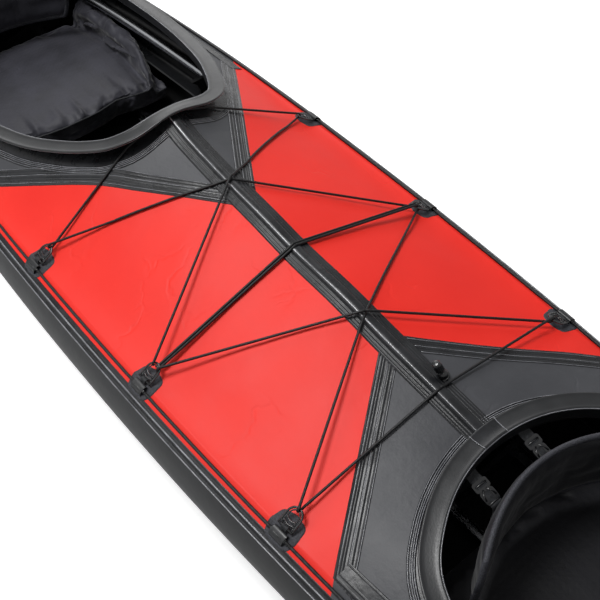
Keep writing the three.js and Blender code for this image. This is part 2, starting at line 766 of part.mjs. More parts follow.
// Ribbed welded band between the deck's outer edge and the hull's top edge.
function gunwaleSeam(side) {
  const last = HULL_MID_SHARES.length - 1;
  const section = (x) => {
    const inboard = new THREE.Vector2(deckOuterShare * beamAt(x), smoothDeckAt(x, deckOuterShare));
    const [breadth, height] = sectionShares(x)[last];
    const outboard = new THREE.Vector2(breadth * beamAt(x),
      keelAt(x) + height * (sheerAt(x) - keelAt(x)));
    const along = outboard.clone().sub(inboard);
    const unit = along.clone().normalize();
    const out = new THREE.Vector2(-unit.y, unit.x);
    if (out.x < 0) out.multiplyScalar(-1);
    const start = inboard.clone().addScaledVector(unit, 2 * fitGap);
    const end = outboard.clone().addScaledVector(unit, -2 * fitGap);
    const top = SEAM_RIB_SHARES.map(([f, rib]) => start.clone().lerp(end, f)
      .addScaledVector(out, THREE.MathUtils.lerp(seamBandRise, seamRibRise, rib)));
    const bottom = [end, start.clone().addScaledVector(unit, 2 * skinThickness)]
      .map((p) => p.clone().addScaledVector(out, -skinThickness));
    return [...top, ...bottom].map((p) => new THREE.Vector3(x, side * p.x, p.y));
  };
  const rings = deckStations.map(section);
  const flat = rings[Math.floor(rings.length / 2)].map((p) => [p.y, p.z]);
  return loft(rings, flat);
}

function keelStrip() {
  const count = stationCount;
  const stations = Array.from({ length: count + 1 },
    (unused, i) => -keelStripHalfLength + (2 * keelStripHalfLength * i) / count);
  const half = keelStripWidth / 2;
  const rings = stations.map((x) => {
    const z = keelAt(x) - fitGap;
    return [[-half, 0], [half, 0], [half, -keelStripThickness], [-half, -keelStripThickness]]
      .map(([y, rise]) => new THREE.Vector3(x, y, z + rise));
  });
  return loft(rings, [[0, 0], [1, 0], [1, 1], [0, 1]]);
}

// Half sizes and centre of a sponson's section at x.
function sponsonAt(x) {
  const run = Math.min(1, (sponsonHalfLength - Math.abs(x)) / (4 * sponsonHalfWidth));
  const taper = THREE.MathUtils.lerp(sponsonEndShare, 1, Math.sqrt(Math.max(run, 0)))
    * Math.sqrt(beamAt(x) / halfBeam);
  const halfWidth = sponsonHalfWidth * taper;
  const halfHeight = sponsonHalfHeight * taper;
  const z = keelAt(x) + sponsonHeightShare * (sheerAt(x) - keelAt(x));
  let y = beamAt(x);
  for (let n = 0; n < 24; n += 1) {
    const angle = (2 * Math.PI * n) / 24;
    const room = hullHalfAt(x, z + halfHeight * Math.sin(angle)) - skinThickness
      - sponsonSkinClearance - halfWidth * Math.cos(angle);
    y = Math.min(y, room);
  }
  return { y, z, halfWidth, halfHeight };
}

function sponson(side, grow = 0) {
  const reach = sponsonHalfLength + grow;
  const rings = Array.from({ length: sponsonStations + 1 }, (unused, i) => {
    const share = (2 * i) / sponsonStations - 1;
    const x = Math.sin((Math.PI / 2) * share) * sponsonHalfLength;
    const { y, z, halfWidth, halfHeight } = sponsonAt(x);
    return circleOutline(1, sponsonSides).map(([a, b]) => new THREE.Vector3(
      (x / sponsonHalfLength) * reach, side * (y + a * (halfWidth + grow)), z + b * (halfHeight + grow)));
  });
  return loft(rings, circleOutline(1, sponsonSides));
}

function stationsTo(low, high, count) {
  return Array.from({ length: count + 1 }, (unused, i) => low + ((high - low) * i) / count);
}

function keelTubePoint(x) {
  return new THREE.Vector3(x, 0, lowestInHull(x, 0, tubeRadius));
}

function chineTubePoint(x, side) {
  const y = chineShare * beamAt(x);
  return new THREE.Vector3(x, side * y, lowestInHull(x, y, tubeRadius));
}

function gunwaleTubePoint(x, side) {
  const inside = Math.min(Math.abs(x), sponsonHalfLength - 4 * sponsonHalfWidth) * Math.sign(x);
  const { y, z, halfWidth } = sponsonAt(inside);
  const narrowing = beamAt(x) / beamAt(inside);
  const lift = (sheerAt(x) - sheerAt(inside)) + gunwaleTubeRise;
  return new THREE.Vector3(x, side * (y - halfWidth - tubeRadius - tubeSkinClearance) * narrowing,
    z + lift);
}

function ridgeTubePoint(x) {
  return new THREE.Vector3(x, 0, hangUnderDeck(x, ridgeTubeRadius));
}

function frameTubes() {
  const path = (low, high, pointAt) => stationsTo(low, high, tubeStations).map(pointAt);
  const frameX = Object.fromEntries(FRAME_STATIONS.map(([name, x]) => [name, x]));
  const tubes = { keel_tube: tubeAlong(path(-keelTubeHalfLength, keelTubeHalfLength, keelTubePoint),
    tubeRadius, tubeStations) };
  [['port', 1], ['starboard', -1]].forEach(([name, side]) => {
    tubes[`chine_tube_${name}`] = tubeAlong(path(-chineTubeHalfLength, chineTubeHalfLength,
      (x) => chineTubePoint(x, side)), tubeRadius, tubeStations);
    tubes[`gunwale_tube_${name}`] = tubeAlong(path(-gunwaleTubeHalfLength, gunwaleTubeHalfLength,
      (x) => gunwaleTubePoint(x, side)), tubeRadius, tubeStations);
  });
  const ridge = (low, high) => cordAlong([low, ...deckStations.filter((x) => x > low && x < high),
    high].map(ridgeTubePoint), ridgeTubeRadius, tubeSides);
  tubes.ridge_tube_middle = ridge(frameX.frame_rear_coaming - ridgeTubeEndInset,
    frameX.frame_middle + ridgeTubeEndInset);
  tubes.ridge_tube_bow = ridge(frameX.frame_front_coaming - ridgeTubeEndInset,
    halfLength - stemLength / 2);
  tubes.ridge_tube_stern = ridge(-halfLength + stemLength / 2,
    frameX.frame_behind_rear_seat + ridgeTubeEndInset);
  return tubes;
}

// Outline of the space inside hull and deck at a frame, in Y and Z, kept clear of both.
function frameOutline(x) {
  const half = frameThickness / 2;
  const narrow = x + Math.sign(x) * (half + rakeAt(Math.abs(x / halfLength), 0));
  const section = sectionShares(narrow).map(([breadth, height]) => [breadth * beamAt(narrow),
    keelAt(narrow) + height * (sheerAt(narrow) - keelAt(narrow))]);
  const deckShares = [0.84, 0.765, 0.58, 0.38, 0.19, 0];
  const deck = deckShares.map((share) => {
    const y = share * beamAt(narrow);
    const lowest = Math.min(deckAt(x - half, y), deckAt(x, y), deckAt(x + half, y));
    return [y, lowest - deckThickness - frameDeckClearance + frameSkinClearance];
  });
  const right = [...section.slice(1), ...deck.slice(0, -1)];
  const outline = [...right, deck[deck.length - 1],
    ...right.slice().reverse().map(([y, z]) => [-y, z])];
  return offsetOutline(outline, -frameSkinClearance);
}

// Opening of a frame: its outline drawn in by the band at top and bottom, and by the band
// inside the sponsons at the sides.
function frameOpening(outline, x) {
  const breadth = Math.max(...outline.map(([y]) => y));
  const { y: sponsonY, halfWidth } = sponsonAt(x);
  const inside = Math.abs(x) < sponsonHalfLength ? Math.min(sponsonY - halfWidth, breadth) : breadth;
  const high = Math.max(...outline.map((point) => point[1]));
  const low = Math.min(...outline.map((point) => point[1]));
  const middle = (high + low) / 2;
  const across = (inside - frameBand) / breadth;
  const upright = 1 - (2 * frameBand) / (high - low);
  return outline.map(([y, z]) => [y * across, middle + (z - middle) * upright]);
}

function plateFrames(tubes, sponsons) {
  const plate = (outline, x, thickness) => {
    const shape = new THREE.Shape(outline.map(([y, z]) => new THREE.Vector2(y, z)));
    const slab = new THREE.ExtrudeGeometry(shape, { depth: thickness, bevelEnabled: false });
    const turn = new THREE.Matrix4().makeBasis(new THREE.Vector3(0, 1, 0),
      new THREE.Vector3(0, 0, 1), new THREE.Vector3(1, 0, 0));
    slab.applyMatrix4(turn).translate(x - thickness / 2, 0, 0);
    return toSolid(slab);
  };
  return FRAME_STATIONS.map(([name, x, openTop]) => {
    const outline = frameOutline(x);
    let solid = plate(outline, x, frameThickness)
      .subtract(plate(frameOpening(outline, x), x, 2 * frameThickness));
    if (openTop) {
      const top = gunwaleTubePoint(x, 1).z + tubeRadius + frameOpenTopDrop;
      solid = solid.subtract(boxSolid(new THREE.Vector3(x - frameThickness, -hullBeam, top),
        new THREE.Vector3(x + frameThickness, hullBeam, top + hullBeam)));
    }
    [...sponsons, ...tubes].forEach((cutter) => {
      solid = solid.subtract(cutter);
    });
    return [name, largestBody(solid)];
  });
}

// Solid stem between the two sides of the skin at an end of the hull.
function stem(sign, tubes) {
  const place = (share, height, y) => {
    const x = sign * share * halfLength;
    const rake = sign * rakeAt(share, height);
    return new THREE.Vector3(x - rake, y, keelAt(x) + height * (sheerAt(x) - keelAt(x)));
  };
  const back = 1 - stemLength / halfLength;
  const rings = HULL_END_SHARES.slice(2).map(([breadth, height]) => {
    const half = breadth * stemHalfWidth - skinThickness - stemInset;
    return [place(1, height, half), place((1 + back) / 2, height, half), place(back, height, half),
      place(back, height, -half), place((1 + back) / 2, height, -half), place(1, height, -half)];
  });
  let solid = toSolid(loft(rings, [[2, 1], [1, 1], [0, 1], [0, 0], [1, 0], [2, 0]]));
  tubes.forEach((tube) => {
    solid = solid.subtract(tube);
  });
  return largestBody(solid);
}

// Place of a deck fitting: its hinge line, and the directions inboard and along the boat.
function fittingFrame(x, side) {
  const lineY = lineShare * beamAt(x);
  const hingeY = lineY - ringInboard;
  const ahead = new THREE.Vector3(x + probeStep, side * lineShare * beamAt(x + probeStep), 0);
  const along = ahead.sub(new THREE.Vector3(x, side * lineY, 0)).normalize();
  const inboard = new THREE.Vector3(-along.y, along.x, 0).multiplyScalar(-side);
  const top = deckAt(x, side * hingeY) + fitGap + fittingPadThickness;
  const hinge = new THREE.Vector3(x, side * hingeY, top + ringBarRise);
  return { hinge, along, inboard, side, line: new THREE.Vector3(x, side * lineY, 0) };
}

function fittingBase(x, side) {
  const { hinge, along, inboard, line } = fittingFrame(x, side);
  const half = fittingPadLength / 2;
  const at = (a, b) => [line.x + a * along.x + b * inboard.x, line.y + a * along.y + b * inboard.y];
  const inner = fittingPadInboard;
  const outline = [at(-half, -fittingPadOutboard), at(half, -fittingPadOutboard),
    at(half, 0.55 * inner), at(0.8 * half, 0.9 * inner), at(0.55 * half, inner)];
  for (let n = 0; n <= 4; n += 1) {
    const angle = (Math.PI * n) / 4;
    outline.push(at(0.5 * half * Math.cos(angle), inner + fittingPadBulge * Math.sin(angle)));
  }
  outline.push(at(-0.55 * half, inner), at(-0.8 * half, 0.9 * inner), at(-half, 0.55 * inner));
  let solid = deckSheet(fitGap, fitGap + fittingPadThickness).intersect(planPrism(outline));
  const up = new THREE.Vector3(0, 0, 1);
  const sideways = (outlinePoints, length, place) => {
    const shape = new THREE.Shape(outlinePoints.map((p) => new THREE.Vector2(...p)));
    const block = new THREE.ExtrudeGeometry(shape, { depth: length, bevelEnabled: false });
    block.translate(0, 0, -length / 2);
    const turn = new THREE.Matrix4().makeBasis(inboard, up, inboard.clone().cross(up));
    block.applyMatrix4(turn).translate(place.x, place.y, place.z);
    return toSolid(block);
  };
  const arch = (radius, depth) => {
    const points = [[radius, -depth]];
    for (let n = 0; n <= 6; n += 1) {
      const angle = (Math.PI * n) / 6;
      points.push([radius * Math.cos(angle), radius * Math.sin(angle)]);
    }
    points.push([-radius, -depth]);
    return points;
  };
  const padTop = (point) => deckAt(point.x, point.y) + fitGap + fittingPadThickness / 2;
  const loopRadius = loopHoleRadius + loopWall;
  const loopPlace = hinge;
  const loop = sideways(arch(loopRadius, hinge.z - padTop(hinge)), loopLength, loopPlace)
    .subtract(sideways(circleOutline(loopHoleRadius, 8), 2 * loopLength, loopPlace));
  const linePlace = linePoint(x, side, true);
  const barrel = sideways(arch(barrelRadius, linePlace.z - padTop(line)), barrelLength, linePlace)
    .subtract(sideways(circleOutline(lineRadius + 2 * fitGap, 8), 2 * barrelLength, linePlace));
  solid = solid.add(loop).add(barrel);
  return largestBody(solid.subtract(deckSheet(-2 * barrelRadius, fitGap)));
}

// Flat ladder ring, drawn with its base bar on the hinge line and its arc inboard.
function fittingRing(x, side) {
  const { hinge, along, inboard } = fittingFrame(x, side);
  const bar = ringBarHalf;
  const arcCentre = ringHeight - ringHalfWidth + bar;
  const outer = new THREE.Shape();
  outer.moveTo(-ringHalfWidth, -bar);
  outer.lineTo(ringHalfWidth, -bar);
  outer.lineTo(ringHalfWidth, arcCentre);
  for (let n = 1; n <= ringArcSteps; n += 1) {
    const angle = (Math.PI * n) / ringArcSteps;
    outer.lineTo(ringHalfWidth * Math.cos(angle), arcCentre + ringHalfWidth * Math.sin(angle));
  }
  const windowHalf = ringHalfWidth - ringArcBar;
  const base = new THREE.Path();
  base.moveTo(-windowHalf, bar);
  base.lineTo(-windowHalf, bar + ringBaseWindow);
  base.lineTo(windowHalf, bar + ringBaseWindow);
  base.lineTo(windowHalf, bar);
  const arc = new THREE.Path();
  const windowLow = bar + ringBaseWindow + ringCrossBar;
  arc.moveTo(windowHalf, windowLow);
  arc.lineTo(-windowHalf, windowLow);
  for (let n = ringArcSteps; n >= 0; n -= 1) {
    const angle = (Math.PI * n) / ringArcSteps;
    arc.lineTo(windowHalf * Math.cos(angle), arcCentre + windowHalf * Math.sin(angle));
  }
  outer.holes.push(base, arc);
  const ring = new THREE.ExtrudeGeometry(outer, { depth: ringThickness, bevelEnabled: false });
  ring.translate(0, 0, -ringThickness / 2);
  const tilt = THREE.MathUtils.degToRad(ringTilt);
  const up = new THREE.Vector3(0, 0, 1);
  const pull = inboard.clone().multiplyScalar(Math.cos(tilt)).addScaledVector(up, Math.sin(tilt));
  const turn = new THREE.Matrix4().makeBasis(along.clone().multiplyScalar(side), pull,
    along.clone().multiplyScalar(side).cross(pull));
  ring.applyMatrix4(turn).translate(hinge.x, hinge.y, hinge.z);
  return toSolid(ring);
}

// Where a bungee turns round a ring's arc: the middle of the arc bar and its directions.
function ringTop(x, side) {
  const { hinge, along, inboard } = fittingFrame(x, side);
  const tilt = THREE.MathUtils.degToRad(ringTilt);
  const up = new THREE.Vector3(0, 0, 1);
  const pull = inboard.clone().multiplyScalar(Math.cos(tilt)).addScaledVector(up, Math.sin(tilt));
  const normal = up.clone().multiplyScalar(Math.cos(tilt)).addScaledVector(inboard, -Math.sin(tilt));
  const bar = hinge.clone().addScaledVector(pull, ringHeight + ringBarHalf - ringArcBar / 2);
  return { bar, along, pull, normal };
}

// Points of one turn round a ring, in over the arc bar and out under it.
function ringTurn(x, side, shift, comesInOver) {
  const { bar, along, pull, normal } = ringTop(x, side);
  const reach = Math.hypot(ringArcBar, ringThickness) / 2 + bungeeTurnClearance + bungeeRadius;
  const fall = ringHalfWidth - Math.sqrt(ringHalfWidth ** 2 - shift ** 2);
  const centre = bar.clone().addScaledVector(along, shift).addScaledVector(pull, -1.6 * fall);
  const points = [-0.5, -0.17, 0.17, 0.5].map((f) => {
    const angle = Math.PI * f;
    return centre.clone().addScaledVector(normal, -reach * Math.sin(angle))
      .addScaledVector(pull, -reach * Math.cos(angle));
  });
  return comesInOver ? points : points.reverse();
}

const weltTop = fitGap + ridgeStripThickness / 2 + ridgeWeltHeight;

function overRidge(x, level) {
  const rise = weltTop + fitGap + bungeeRadius + level * (2 * bungeeRadius + bungeeCrossGap);
  return [new THREE.Vector3(x, 0, deckAt(x, 0) + rise)];
}

// Points between two places on a cord's way, lifted wherever the deck stands in between.
function draped(from, to) {
  const cover = panelSeamThickness + bungeeDeckClearance;
  return [0.1, 0.36, 0.64, 0.9].map((share) => {
    const point = from.clone().lerp(to, share);
    const lowest = restOnDeck(point.x, point.y, bungeeRadius) + cover;
    return point.setZ(Math.max(point.z, lowest));
  });
}

function drapedThrough(groups) {
  return groups.flatMap((group, n) => (n === 0 ? group
    : [...draped(groups[n - 1][groups[n - 1].length - 1], group[0]), ...group]));
}

// Rear bungee: middle starboard ring, rear port ring, round the coaming to the rear starboard
// ring, middle port ring and straight back.
function bungeeRear() {
  const crossing = THREE.MathUtils.lerp(fittingRearX, fittingMiddleX, 0.49);
  const tuckedX = rearCockpitTipX + coamingWall + 3 * bungeeRadius;
  const tuck = (share, back) => new THREE.Vector3(tuckedX - back * bungeeRadius,
    share * fittingPadLength, 0);
  const tucked = [[1.8, 4], [0.8, 0.5], [0, 0], [-0.8, 0.5], [-1.8, 4]].map(([share, back]) => {
    const point = tuck(share, back);
    return point.setZ(restOnDeck(point.x, point.y, bungeeRadius) + panelSeamThickness
      + bungeeDeckClearance);
  });
  const points = drapedThrough([
    ringTurn(fittingMiddleX, -1, -bungeeSpacing, true).slice(1),
    overRidge(crossing, 1),
    ringTurn(fittingRearX, 1, 0, true),
    tucked,
    ringTurn(fittingRearX, -1, 0, false),
    overRidge(crossing, 0),
    ringTurn(fittingMiddleX, 1, -bungeeSpacing, true),
    overRidge(fittingMiddleX - bungeeSpacing / 2, 0),
    ringTurn(fittingMiddleX, -1, -bungeeSpacing, true).slice(0, 1),
  ]);
  return cordAlong(points, bungeeRadius, bungeeSides);
}

// Front bungee: middle starboard ring, front port ring, front starboard ring, middle port ring
// and straight back.
function bungeeFront() {
  const crossing = THREE.MathUtils.lerp(fittingMiddleX, fittingFrontX, 0.51);
  const points = drapedThrough([
    ringTurn(fittingMiddleX, -1, bungeeSpacing, false).slice(1),
    overRidge(crossing, 1),
    ringTurn(fittingFrontX, 1, 0, true),
    overRidge(fittingFrontX, 0),
    ringTurn(fittingFrontX, -1, 0, false),
    overRidge(crossing, 0),
    ringTurn(fittingMiddleX, 1, bungeeSpacing, true),
    overRidge(fittingMiddleX + bungeeSpacing / 2, 0),
    ringTurn(fittingMiddleX, -1, bungeeSpacing, false).slice(0, 1),
  ]);
  return cordAlong(points, bungeeRadius, bungeeSides);
}

// Height of the perimeter line at x: on the deck, or on the pads where a fitting holds it.
function linePoint(x, side, onPad) {
  const y = side * lineShare * beamAt(x);
  const rise = onPad ? 1.3 * fittingPadThickness + fitGap : fitGap;
  return new THREE.Vector3(x, y, restOnDeck(x, y, lineRadius) + rise);
}

// One line round the whole deck, level across its run, through every fitting and over both ends.
function perimeterLine() {
  const half = fittingPadLength / 2;
  const fittings = [fittingRearX, fittingMiddleX, fittingFrontX];
  const held = fittings.flatMap((x) => [[x - 2 * half, false], [x - 1.2 * half, true],
    [x + 1.2 * half, true], [x + 2 * half, false]]);
  const free = deckStations.filter((x) => Math.abs(x) <= lineEndX
    && fittings.every((f) => Math.abs(x - f) > 2.4 * half)).map((x) => [x, false]);
  const rows = [...held, ...free].sort((a, b) => a[0] - b[0]);
  const starboard = rows.map(([x, onPad]) => linePoint(x, -1, onPad));
  const port = rows.map(([x, onPad]) => linePoint(x, 1, onPad)).reverse();
  const round = (sign) => [-0.6, 0, 0.6].map((share) => {
    const x = sign * (lineEndX + lineEndRun * (1 - share * share));
    const y = sign * share * lineShare * beamAt(x);
    return new THREE.Vector3(x, y, restOnDeck(x, y, lineRadius) + 3.2 * lineRadius);
  });
  const points = [...starboard, ...round(1), ...port, ...round(-1)];
  const outline = circleOutline(lineRadius, lineSides);
  const up = new THREE.Vector3(0, 0, 1);
  const rings = points.map((point, i) => {
    const before = points[(i + points.length - 1) % points.length];
    const after = points[(i + 1) % points.length];
    const direction = after.clone().sub(before).normalize();
    const side = up.clone().cross(direction).normalize();
    const over = direction.clone().cross(side);
    return outline.map(([a, b]) => point.clone().addScaledVector(side, a).addScaledVector(over, b));
  });
  return loft(rings, outline, true);
}

function valve() {
  const slope = deckAt(valveX, valveY - probeStep) - deckAt(valveX, valveY + probeStep);
  const normal = new THREE.Vector3(0, slope, 2 * probeStep).normalize();
  const foot = new THREE.Vector3(valveX, valveY, deckAt(valveX, valveY))
    .addScaledVector(normal, ridgeStripThickness);
  const profile = (points) => new THREE.LatheGeometry(points.map((p) => new THREE.Vector2(...p)),
    valveSides).rotateX(Math.PI / 2);
  const stand = (geometry, axis, place) => {
    const turn = new THREE.Quaternion().setFromUnitVectors(new THREE.Vector3(0, 0, 1), axis);
    geometry.applyQuaternion(turn).translate(place.x, place.y, place.z);
    return toSolid(facingOut(mergedPositions(geometry)));
  };
  const lean = new THREE.Vector3(-Math.tan(THREE.MathUtils.degToRad(valveLeanAft)),
    -Math.tan(THREE.MathUtils.degToRad(valveLeanInboard)), 1).normalize();
  const ballCentre = foot.clone().addScaledVector(normal, valveFlangeThickness
    + 0.6 * valveBallRadius);
  const base = profile([[0, 0], [valveFlangeRadius, 0], [valveFlangeRadius, valveFlangeThickness],
    [valveBallRadius, 1.6 * valveFlangeThickness],
    [valveBallRadius, valveFlangeThickness + 0.6 * valveBallRadius],
    [0.7 * valveBallRadius, valveFlangeThickness + 1.3 * valveBallRadius],
    [0, valveFlangeThickness + 1.6 * valveBallRadius]]);
  const tube = profile([[0, 0], [valveStemRadius, 0], [valveStemRadius, valveStemLength],
    [0, valveStemLength]]);
  const stemSolid = stand(base, normal, foot).add(stand(tube, lean, ballCentre));
  const inside = valveStemRadius + valveCapGap;
  const capLow = valveStemLength - valveCapOverlap;
  const cap = profile([[inside, capLow], [valveCapRadius, capLow],
    [valveCapRadius, capLow + valveCapLength], [0, capLow + valveCapLength],
    [0, valveStemLength + valveCapGap], [inside, valveStemLength + valveCapGap], [inside, capLow]]);
  const trimmed = stemSolid.subtract(deckSheet(-ridgeStripThickness,
    2 * fitGap + ridgeStripThickness));
  return { valve_stem: largestBody(trimmed), valve_cap: stand(cap, lean, ballCentre) };
}

// Half breadth left for a cushion at x, inside the skin and the sponsons.
function seatRoomAt(x, bottom) {
  const { y, halfWidth } = sponsonAt(x);
  const inSkin = hullHalfAt(x, bottom) - skinThickness;
  return Math.min(cushionHalfWidth, y - halfWidth - cushionClearance, inSkin - cushionClearance);
}

// Padded seat with raised side rolls. Its flat base lies on the chine tubes.
function seatCushion(tipX) {
  const aftX = tipX - cockpitLength + backrestTopX - cushionAftOverlap;
  const onTubes = stationsTo(aftX, aftX + cushionLength, cushionGrid)
    .map((x) => chineTubePoint(x, 1).z + tubeRadius);
  const bottom = Math.max(...onTubes) + 2 * fitGap;
  const rollAt = (share) => smoothStep(THREE.MathUtils.clamp(
    (Math.abs(share) - cushionBolsterShare) / ((1 - cushionBolsterShare) / 2), 0, 1));
  const edgeFall = (share) => {
    const out = THREE.MathUtils.clamp((Math.abs(share) - 1 + cushionEdgeShare) / cushionEdgeShare, 0, 1);
    return Math.sqrt(1 - out * out);
  };
  const shares = Array.from({ length: cushionGrid + 1 }, (unused, n) =>
    Math.sin((Math.PI / 2) * ((2 * n) / cushionGrid - 1)));
  const grid = (top) => shares.map((along) => shares.map((across) => {
    const draw = top ? 1 : 0.985;
    const x = aftX + (cushionLength * (1 + along * draw)) / 2;
    const y = across * draw * seatRoomAt(x, bottom);
    const fall = edgeFall(along) * edgeFall(across);
    const crown = 1 - 0.18 * along * along;
    const height = (cushionTop - bottom) * crown + (bolsterTop - cushionTop) * rollAt(across);
    const edge = 0.3 * (cushionTop - bottom);
    return new THREE.Vector3(x, y, bottom + (top ? edge + (height - edge) * fall : 0));
  }));
  return shellBetween(grid(true), grid(false));
}

function backrestFace(tipX, across, up) {
  const y = across * backrestHalfWidth;
  const x = tipX - cockpitLength + backrestTopX + backrestWrap * across * across;
  const top = backrestTop - backrestTopFall * across * across;
  return new THREE.Vector3(x, y, THREE.MathUtils.lerp(backrestBottom, top, up));
}

// Share of a back band's full thickness at a place across and up it.
function backrestPuff(across, up) {
  return 1 - 0.55 * Math.max(Math.abs(across) ** 6, Math.abs(2 * up - 1) ** 4);
}

// Curved padded back band, wrapped forward at its sides.
function backrest(tipX) {
  const across = stationsTo(-1, 1, backrestColumns);
  const up = stationsTo(0, 1, backrestRows);
  const face = (sign) => across.map((a) => up.map((b) => {
    const round = 1 - 0.1 * Math.abs(a) ** 8;
    const p = backrestFace(tipX, a, 0.5 + (b - 0.5) * round);
    p.x += sign * (backrestThickness / 2) * backrestPuff(a, b);
    return p;
  }));
  return shellBetween(face(1), face(-1));
}

// Strap with its buckle, from under the coaming's aft end down to the back of a backrest.
function backrestStrap(tipX, side) {
  const y = side * strapY;
  const share = (strapY - strapWidth / 2) / backrestHalfWidth;
  const landing = new THREE.Vector3(0, y, backrestTop - strapDrop);
  const up = (landing.z - backrestBottom) / (backrestTop - backrestBottom);
  const facet = (value, count) => {
    const low = Math.floor(value * count) / count;
    return [low, low + 1 / count, (value - low) * count];
  };
  const [inner, outer, between] = facet(share, backrestColumns / 2);
  const [under, over, rise] = facet(up, backrestRows);
  const backAt = (a) => backrestFace(tipX, a, 0).x - (backrestThickness / 2)
    * THREE.MathUtils.lerp(backrestPuff(a, under), backrestPuff(a, over), rise);
  landing.x = THREE.MathUtils.lerp(backAt(inner), backAt(outer), between)
    - strapThickness / 2 - fitGap;
  const coamingInside = tipX - cockpitLength + coamingWall;
  const topZ = deckAt(tipX - cockpitLength, y) - coamingBelowDeck - strapThickness / 2 - 2 * fitGap;
  const points = [new THREE.Vector3(coamingInside - coamingWall, y, topZ),
    new THREE.Vector3(coamingInside + coamingWall, y, topZ - strapThickness),
    new THREE.Vector3(landing.x, y, landing.z + strapLandingRise),
    new THREE.Vector3(landing.x, y, landing.z)];
  const half = strapWidth / 2;
  const thin = strapThickness / 2;
  const outline = [[-half, -thin], [half, -thin], [half, thin], [-half, thin]];
  const sidewise = new THREE.Vector3(0, 1, 0);
  const rings = points.map((point, i) => {
    const back = points[Math.max(i - 1, 0)];
    const on = points[Math.min(i + 1, points.length - 1)];
    const direction = on.clone().sub(back).normalize();
    const out = direction.clone().cross(sidewise);
    return outline.map(([a, b]) => point.clone().addScaledVector(sidewise, a).addScaledVector(out, b));
  });
  const strap = toSolid(loft(rings, outline));
  const run = points[2].clone().sub(points[1]);
  const direction = run.clone().normalize();
  const box = new THREE.BoxGeometry(buckleLength, buckleWidth, buckleThickness);
  const turn = new THREE.Matrix4().makeBasis(direction, sidewise, direction.clone().cross(sidewise));
  const middle = points[1].clone().addScaledVector(run, 0.49);
  box.applyMatrix4(turn).translate(middle.x, middle.y, middle.z);
  return strap.add(toSolid(box));
}

const finishes = {
  red: { color: 0xe8453e, roughness: 0.5, metalness: 0 },
  grey: { color: 0x56585c, roughness: 0.55, metalness: 0 },
  charcoal: { color: 0x35363a, roughness: 0.5, metalness: 0 },
  hull: { color: 0x3f4142, roughness: 0.45, metalness: 0 },
  rim: { color: 0x2c2c2f, roughness: 0.35, metalness: 0 },
  alloy: { color: 0xb9bcc0, roughness: 0.3, metalness: 1 },
  plate: { color: 0x1d1d1f, roughness: 0.6, metalness: 0 },
  bladder: { color: 0x4a4c50, roughness: 0.5, metalness: 0 },
  cloth: { color: 0x2b2b2f, roughness: 0.9, metalness: 0 },
  moulded: { color: 0x1b1b1d, roughness: 0.4, metalness: 0 },
  webbing: { color: 0x222224, roughness: 0.85, metalness: 0 },
  cord: { color: 0x18191a, roughness: 0.8, metalness: 0 },
};

const kayak = new THREE.Group();

function addPart(name, shape, finish) {
  const geometry = shape instanceof THREE.BufferGeometry ? shape : toGeometry(shape);
  const mesh = new THREE.Mesh(geometry, new THREE.MeshStandardMaterial(finishes[finish]));
  mesh.name = name;
  kayak.add(mesh);
}

addPart('hull_skin', hullSkin(), 'hull');
Object.entries(deckPanels()).forEach(([name, solid]) =>
  addPart(name, solid, name.includes('cockpit') ? 'grey' : 'red'));
addPart('ridge_strip', ridgeStrip(), 'charcoal');
addPart('panel_seam_rear', panelSeam(rearCockpitTipX), 'charcoal');
addPart('panel_seam_front', panelSeam(frontCockpitTipX), 'charcoal');
addPart('gunwale_seam_port', gunwaleSeam(1), 'charcoal');
addPart('gunwale_seam_starboard', gunwaleSeam(-1), 'charcoal');
addPart('keel_strip', keelStrip(), 'charcoal');
addPart('coaming_rear', coaming(rearCockpitTipX), 'rim');
addPart('coaming_front', coaming(frontCockpitTipX), 'rim');
addPart('sponson_port', sponson(1), 'bladder');
addPart('sponson_starboard', sponson(-1), 'bladder');

const tubes = frameTubes();
Object.entries(tubes).forEach(([name, geometry]) => addPart(name, geometry, 'alloy'));

// A tube a little fatter than the real one, to cut its hole in a frame.
function grownTube(geometry) {
  const grown = geometry.clone();
  grown.computeVertexNormals();
  const { position, normal } = grown.attributes;
  for (let n = 0; n < position.count; n += 1) {
    position.setXYZ(n, position.getX(n) + normal.getX(n) * frameHoleClearance,
      position.getY(n) + normal.getY(n) * frameHoleClearance,
      position.getZ(n) + normal.getZ(n) * frameHoleClearance);
  }
  return toSolid(grown);
}

const tubeCutters = Object.values(tubes).map(grownTube);
const sponsonCutters = [1, -1].map((side) => toSolid(sponson(side, frameSponsonClearance)));
plateFrames(tubeCutters, sponsonCutters).forEach(([name, solid]) => addPart(name, solid, 'plate'));
addPart('stem_bow', stem(1, tubeCutters), 'plate');
addPart('stem_stern', stem(-1, tubeCutters), 'plate');

[['rear', rearCockpitTipX], ['front', frontCockpitTipX]].forEach(([name, tipX]) => {
  addPart(`seat_cushion_${name}`, seatCushion(tipX), 'cloth');
  addPart(`backrest_${name}`, backrest(tipX), 'cloth');
  addPart(`backrest_strap_${name}_port`, backrestStrap(tipX, 1), 'webbing');
  addPart(`backrest_strap_${name}_starboard`, backrestStrap(tipX, -1), 'webbing');
});

[['rear', fittingRearX], ['middle', fittingMiddleX], ['front', fittingFrontX]]
  .forEach(([place, x]) => [['port', 1], ['starboard', -1]].forEach(([name, side]) => {
    addPart(`fitting_${place}_${name}`, fittingBase(x, side), 'webbing');
    addPart(`ring_${place}_${name}`, fittingRing(x, side), 'moulded');
  }));

addPart('perimeter_line', perimeterLine(), 'cord');
addPart('bungee_rear', bungeeRear(), 'cord');
addPart('bungee_front', bungeeFront(), 'cord');
Object.entries(valve()).forEach(([name, solid]) => addPart(name, solid, 'moulded'));

kayak.position.z = keelStripThickness + fitGap;

export default kayak;
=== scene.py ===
import json
import math

import bmesh
import bpy
from mathutils import Matrix, Vector, noise


